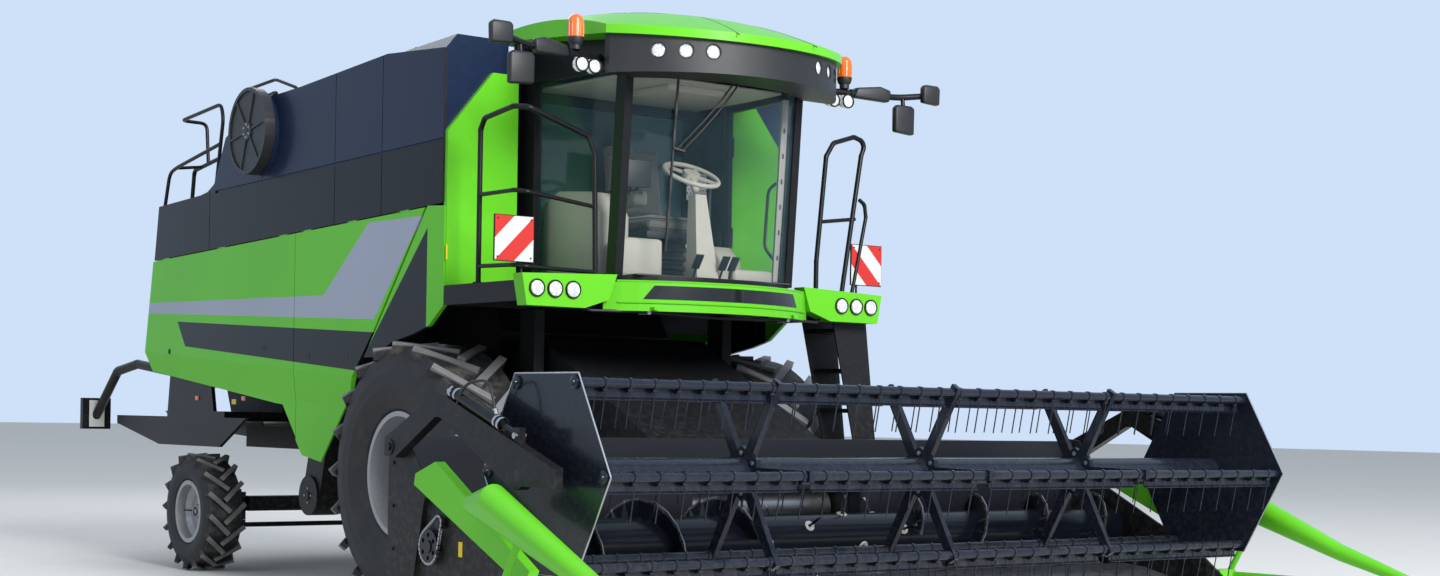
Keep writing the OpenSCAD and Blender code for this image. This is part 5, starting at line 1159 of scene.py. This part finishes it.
# %% Studs and rails
PLATFORM = 2160
studs = Growth("stud_grid", Wide=0.5, Long=0.7, Across=10, Along=14)
grid = studs.geo("MeshGrid", Size_X=studs["Wide"], Size_Y=studs["Long"], Vertices_X=studs["Across"],
                 Vertices_Y=studs["Along"])
studs.repeat(grid, studs.geo("MeshCone", Vertices=8, Radius_Top=0.006, Radius_Bottom=0.010, Depth=0.004))
for s, side in ((-1, "right"), (1, "left")):
    studs.grow(f"platform_studs_{side}", "root", "dark_paint", Place=at(s * 1170, -860, PLATFORM), Wide=0.50, Long=0.72)
feet, rails = Shape(), Shape()
for x, y in ((-1440, -780), (-860, -1266), (1000, -1266), (1240, -1266), (1335, -1266)):
    feet.turned((x, y, PLATFORM + 0.4), UP, [(36, 0), (36, 5), (22, 8), (0, 8)], 20)
    for a in (0.5, 0.5 + 2 * pi / 3, 0.5 + 4 * pi / 3):
        feet.turned((x + 28 * cos(a), y + 28 * sin(a), PLATFORM + 5), UP, [(5, 0), (5, 4), (0, 4)], 6)
make("rail_feet", feet, "black_paint")
EDGE, INNER, LOOP = -1430, -1200, -1395  # the rails' distances from the middle
rails.tube([(EDGE, y, z) for y, z in ((4345, 3000), (4250, 3286), (4106, 3322), (3262, 3438))], 30, 12, bend=70)
rails.tube([(EDGE, y, z) for y, z in ((3330, 3040), (3200, 3640), (3247, 3757), (4015, 3704))]
           + [(INNER, 4042, 3704), (INNER, 4000, 3364)], 30, 12, bend=60)
rails.tube([(EDGE, 4106, 3318), (INNER, 4125, 3349)], 28, 12)
rails.tube([(LOOP, y, z) for y, z in ((2786, 3560), (2940, 3824), (2334, 3850), (1960, 3742), (1930, 3620))], 26, 12,
           bend=50)
make("deck_edge_rails", rails, "black_paint", smooth=50)
print("studs, feet and rails done")

# %% [markdown]
# ## Screen, elevators and tube
# The air screen's hub is bolted, the elevator feet have bearing covers with bolts, and the unloading tube wears
# clamping bands.

# %% Covers and bands
bolt_ring("screen_hub_bolts", "screen", 6, 48, 7, 14, (-1594, 2414, 3445))
covers, bands = Shape(), Shape()
for s in (-1, 1):
    covers.turned((s * 1251, 1930, 680), (s, 0, 0), [(70, -2), (70, 8), (56, 14), (35, 16), (31.5, 30), (0, 32)])
    bolt_ring(f"elevator_bolts_{s}", "root", 4, 54, 8, 20, (s * 1265, 1930, 680))
make("elevator_covers", covers, "dark_paint")
for y in (620, 1900, 3300, 4600):
    bands.turned((1285, y, 3340), BACK, [(149, -18), (154, -18), (154, 18), (149, 18)], 48)
    for x in (1267, 1303):
        bands.tube([(x, y, 3490), (x, y, 3512)], 12, 6)
    bands.block((1255, y - 16, 3488), (1315, y + 16, 3500))
make("tube_bands", bands, "black_paint", "unloader")
print("body trim done,", len(made_pieces), "pieces so far")

# %% [markdown]
# ## The seat
# The seat's CAD solid stays in the frame for collision, and cushions take its place for the eye. Each cushion starts
# as a smaller block, is remeshed to a fine even net and is blown up a little as cloth, so that its faces crown and
# its edges pull in. The piping goes on afterwards, because remeshing would remove it.

# %% Cushions
MOST_GROWTH = 0.016  # metres that the cloth may move a point


def cushion(name, low, high, tilt=0.0, round_by=34):
    obj = built(name, Shape().block(low, high), "seat_cloth")
    if tilt:
        pivot = at((low[0] + high[0]) / 2, low[1], low[2])
        obj.data.transform(Matrix.Translation(pivot) @ Matrix.Rotation(radians(tilt), 4, "X")
                           @ Matrix.Translation(-pivot))
    worked(obj, "BEVEL", width=round_by / 1000, segments=4)
    worked(obj, "REMESH", mode="VOXEL", voxel_size=0.006)
    before = [v.co.copy() for v in obj.data.vertices]
    step = obj.modifiers.new("stuffing", "CLOTH")
    step.settings.use_pressure, step.settings.uniform_pressure_force = True, 4.0
    step.settings.effector_weights.gravity = 0.0
    step.point_cache.frame_start, step.point_cache.frame_end = 1, 20
    for tick in range(1, 21):
        bpy.context.scene.frame_set(tick)
    bake(obj)
    bpy.context.scene.frame_set(1)
    for vertex, was in zip(obj.data.vertices, before):
        move = vertex.co - was
        if move.length > MOST_GROWTH:
            vertex.co = was + move * (MOST_GROWTH / move.length)
    print(name, "grew by", round(max((v.co - w).length for v, w in zip(obj.data.vertices, before)) * 1000, 1), "mm")
    worked(obj, "SUBSURF", levels=1, render_levels=1)
    settle(obj, "root", 80)


cushion("seat_base", (-240, -985, 2575), (240, -500, 2668))
cushion("seat_back", (-232, -520, 2690), (232, -432, 3215), tilt=-8)
cushion("seat_armrest", (-422, -1070, 2722), (-308, -570, 2818), round_by=26)
mount, piping = Shape(), Shape()
mount.block((-180, -900, FLOOR + 1), (180, -540, 2292))
for k in range(7):
    d, z = 6 if k % 2 else 22, 2292 + k * 32
    mount.block((-170 + d, -880 + d, z), (170 - d, -560 - d, z + 32))
mount.block((-250, -980, 2520), (250, -490, 2570))
for x in (-205, 175):
    mount.slab([(x, -500, 2560), (x + 30, -500, 2560), (x + 30, -395, 3150), (x, -395, 3150)], (0, 26, 0))
mount.block((-400, -700, FLOOR + 1), (-330, -600, 2715))
mount_made = make("seat_mount", mount, "black_plastic", bevel=5)
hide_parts("cab_seat")
for z in (2590, 2655):
    piping.tube([(-246, -990, z), (246, -990, z), (246, -494, z), (-246, -494, z), (-246, -990, z)], 7, 8, bend=40)
make("seat_piping", piping, "black_plastic")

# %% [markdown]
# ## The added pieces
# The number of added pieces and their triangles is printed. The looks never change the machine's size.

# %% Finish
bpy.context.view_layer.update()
print("pieces added", len(made_pieces), "triangles",
      sum(len(p.vertices) - 2 for o in made_pieces for p in o.data.polygons))
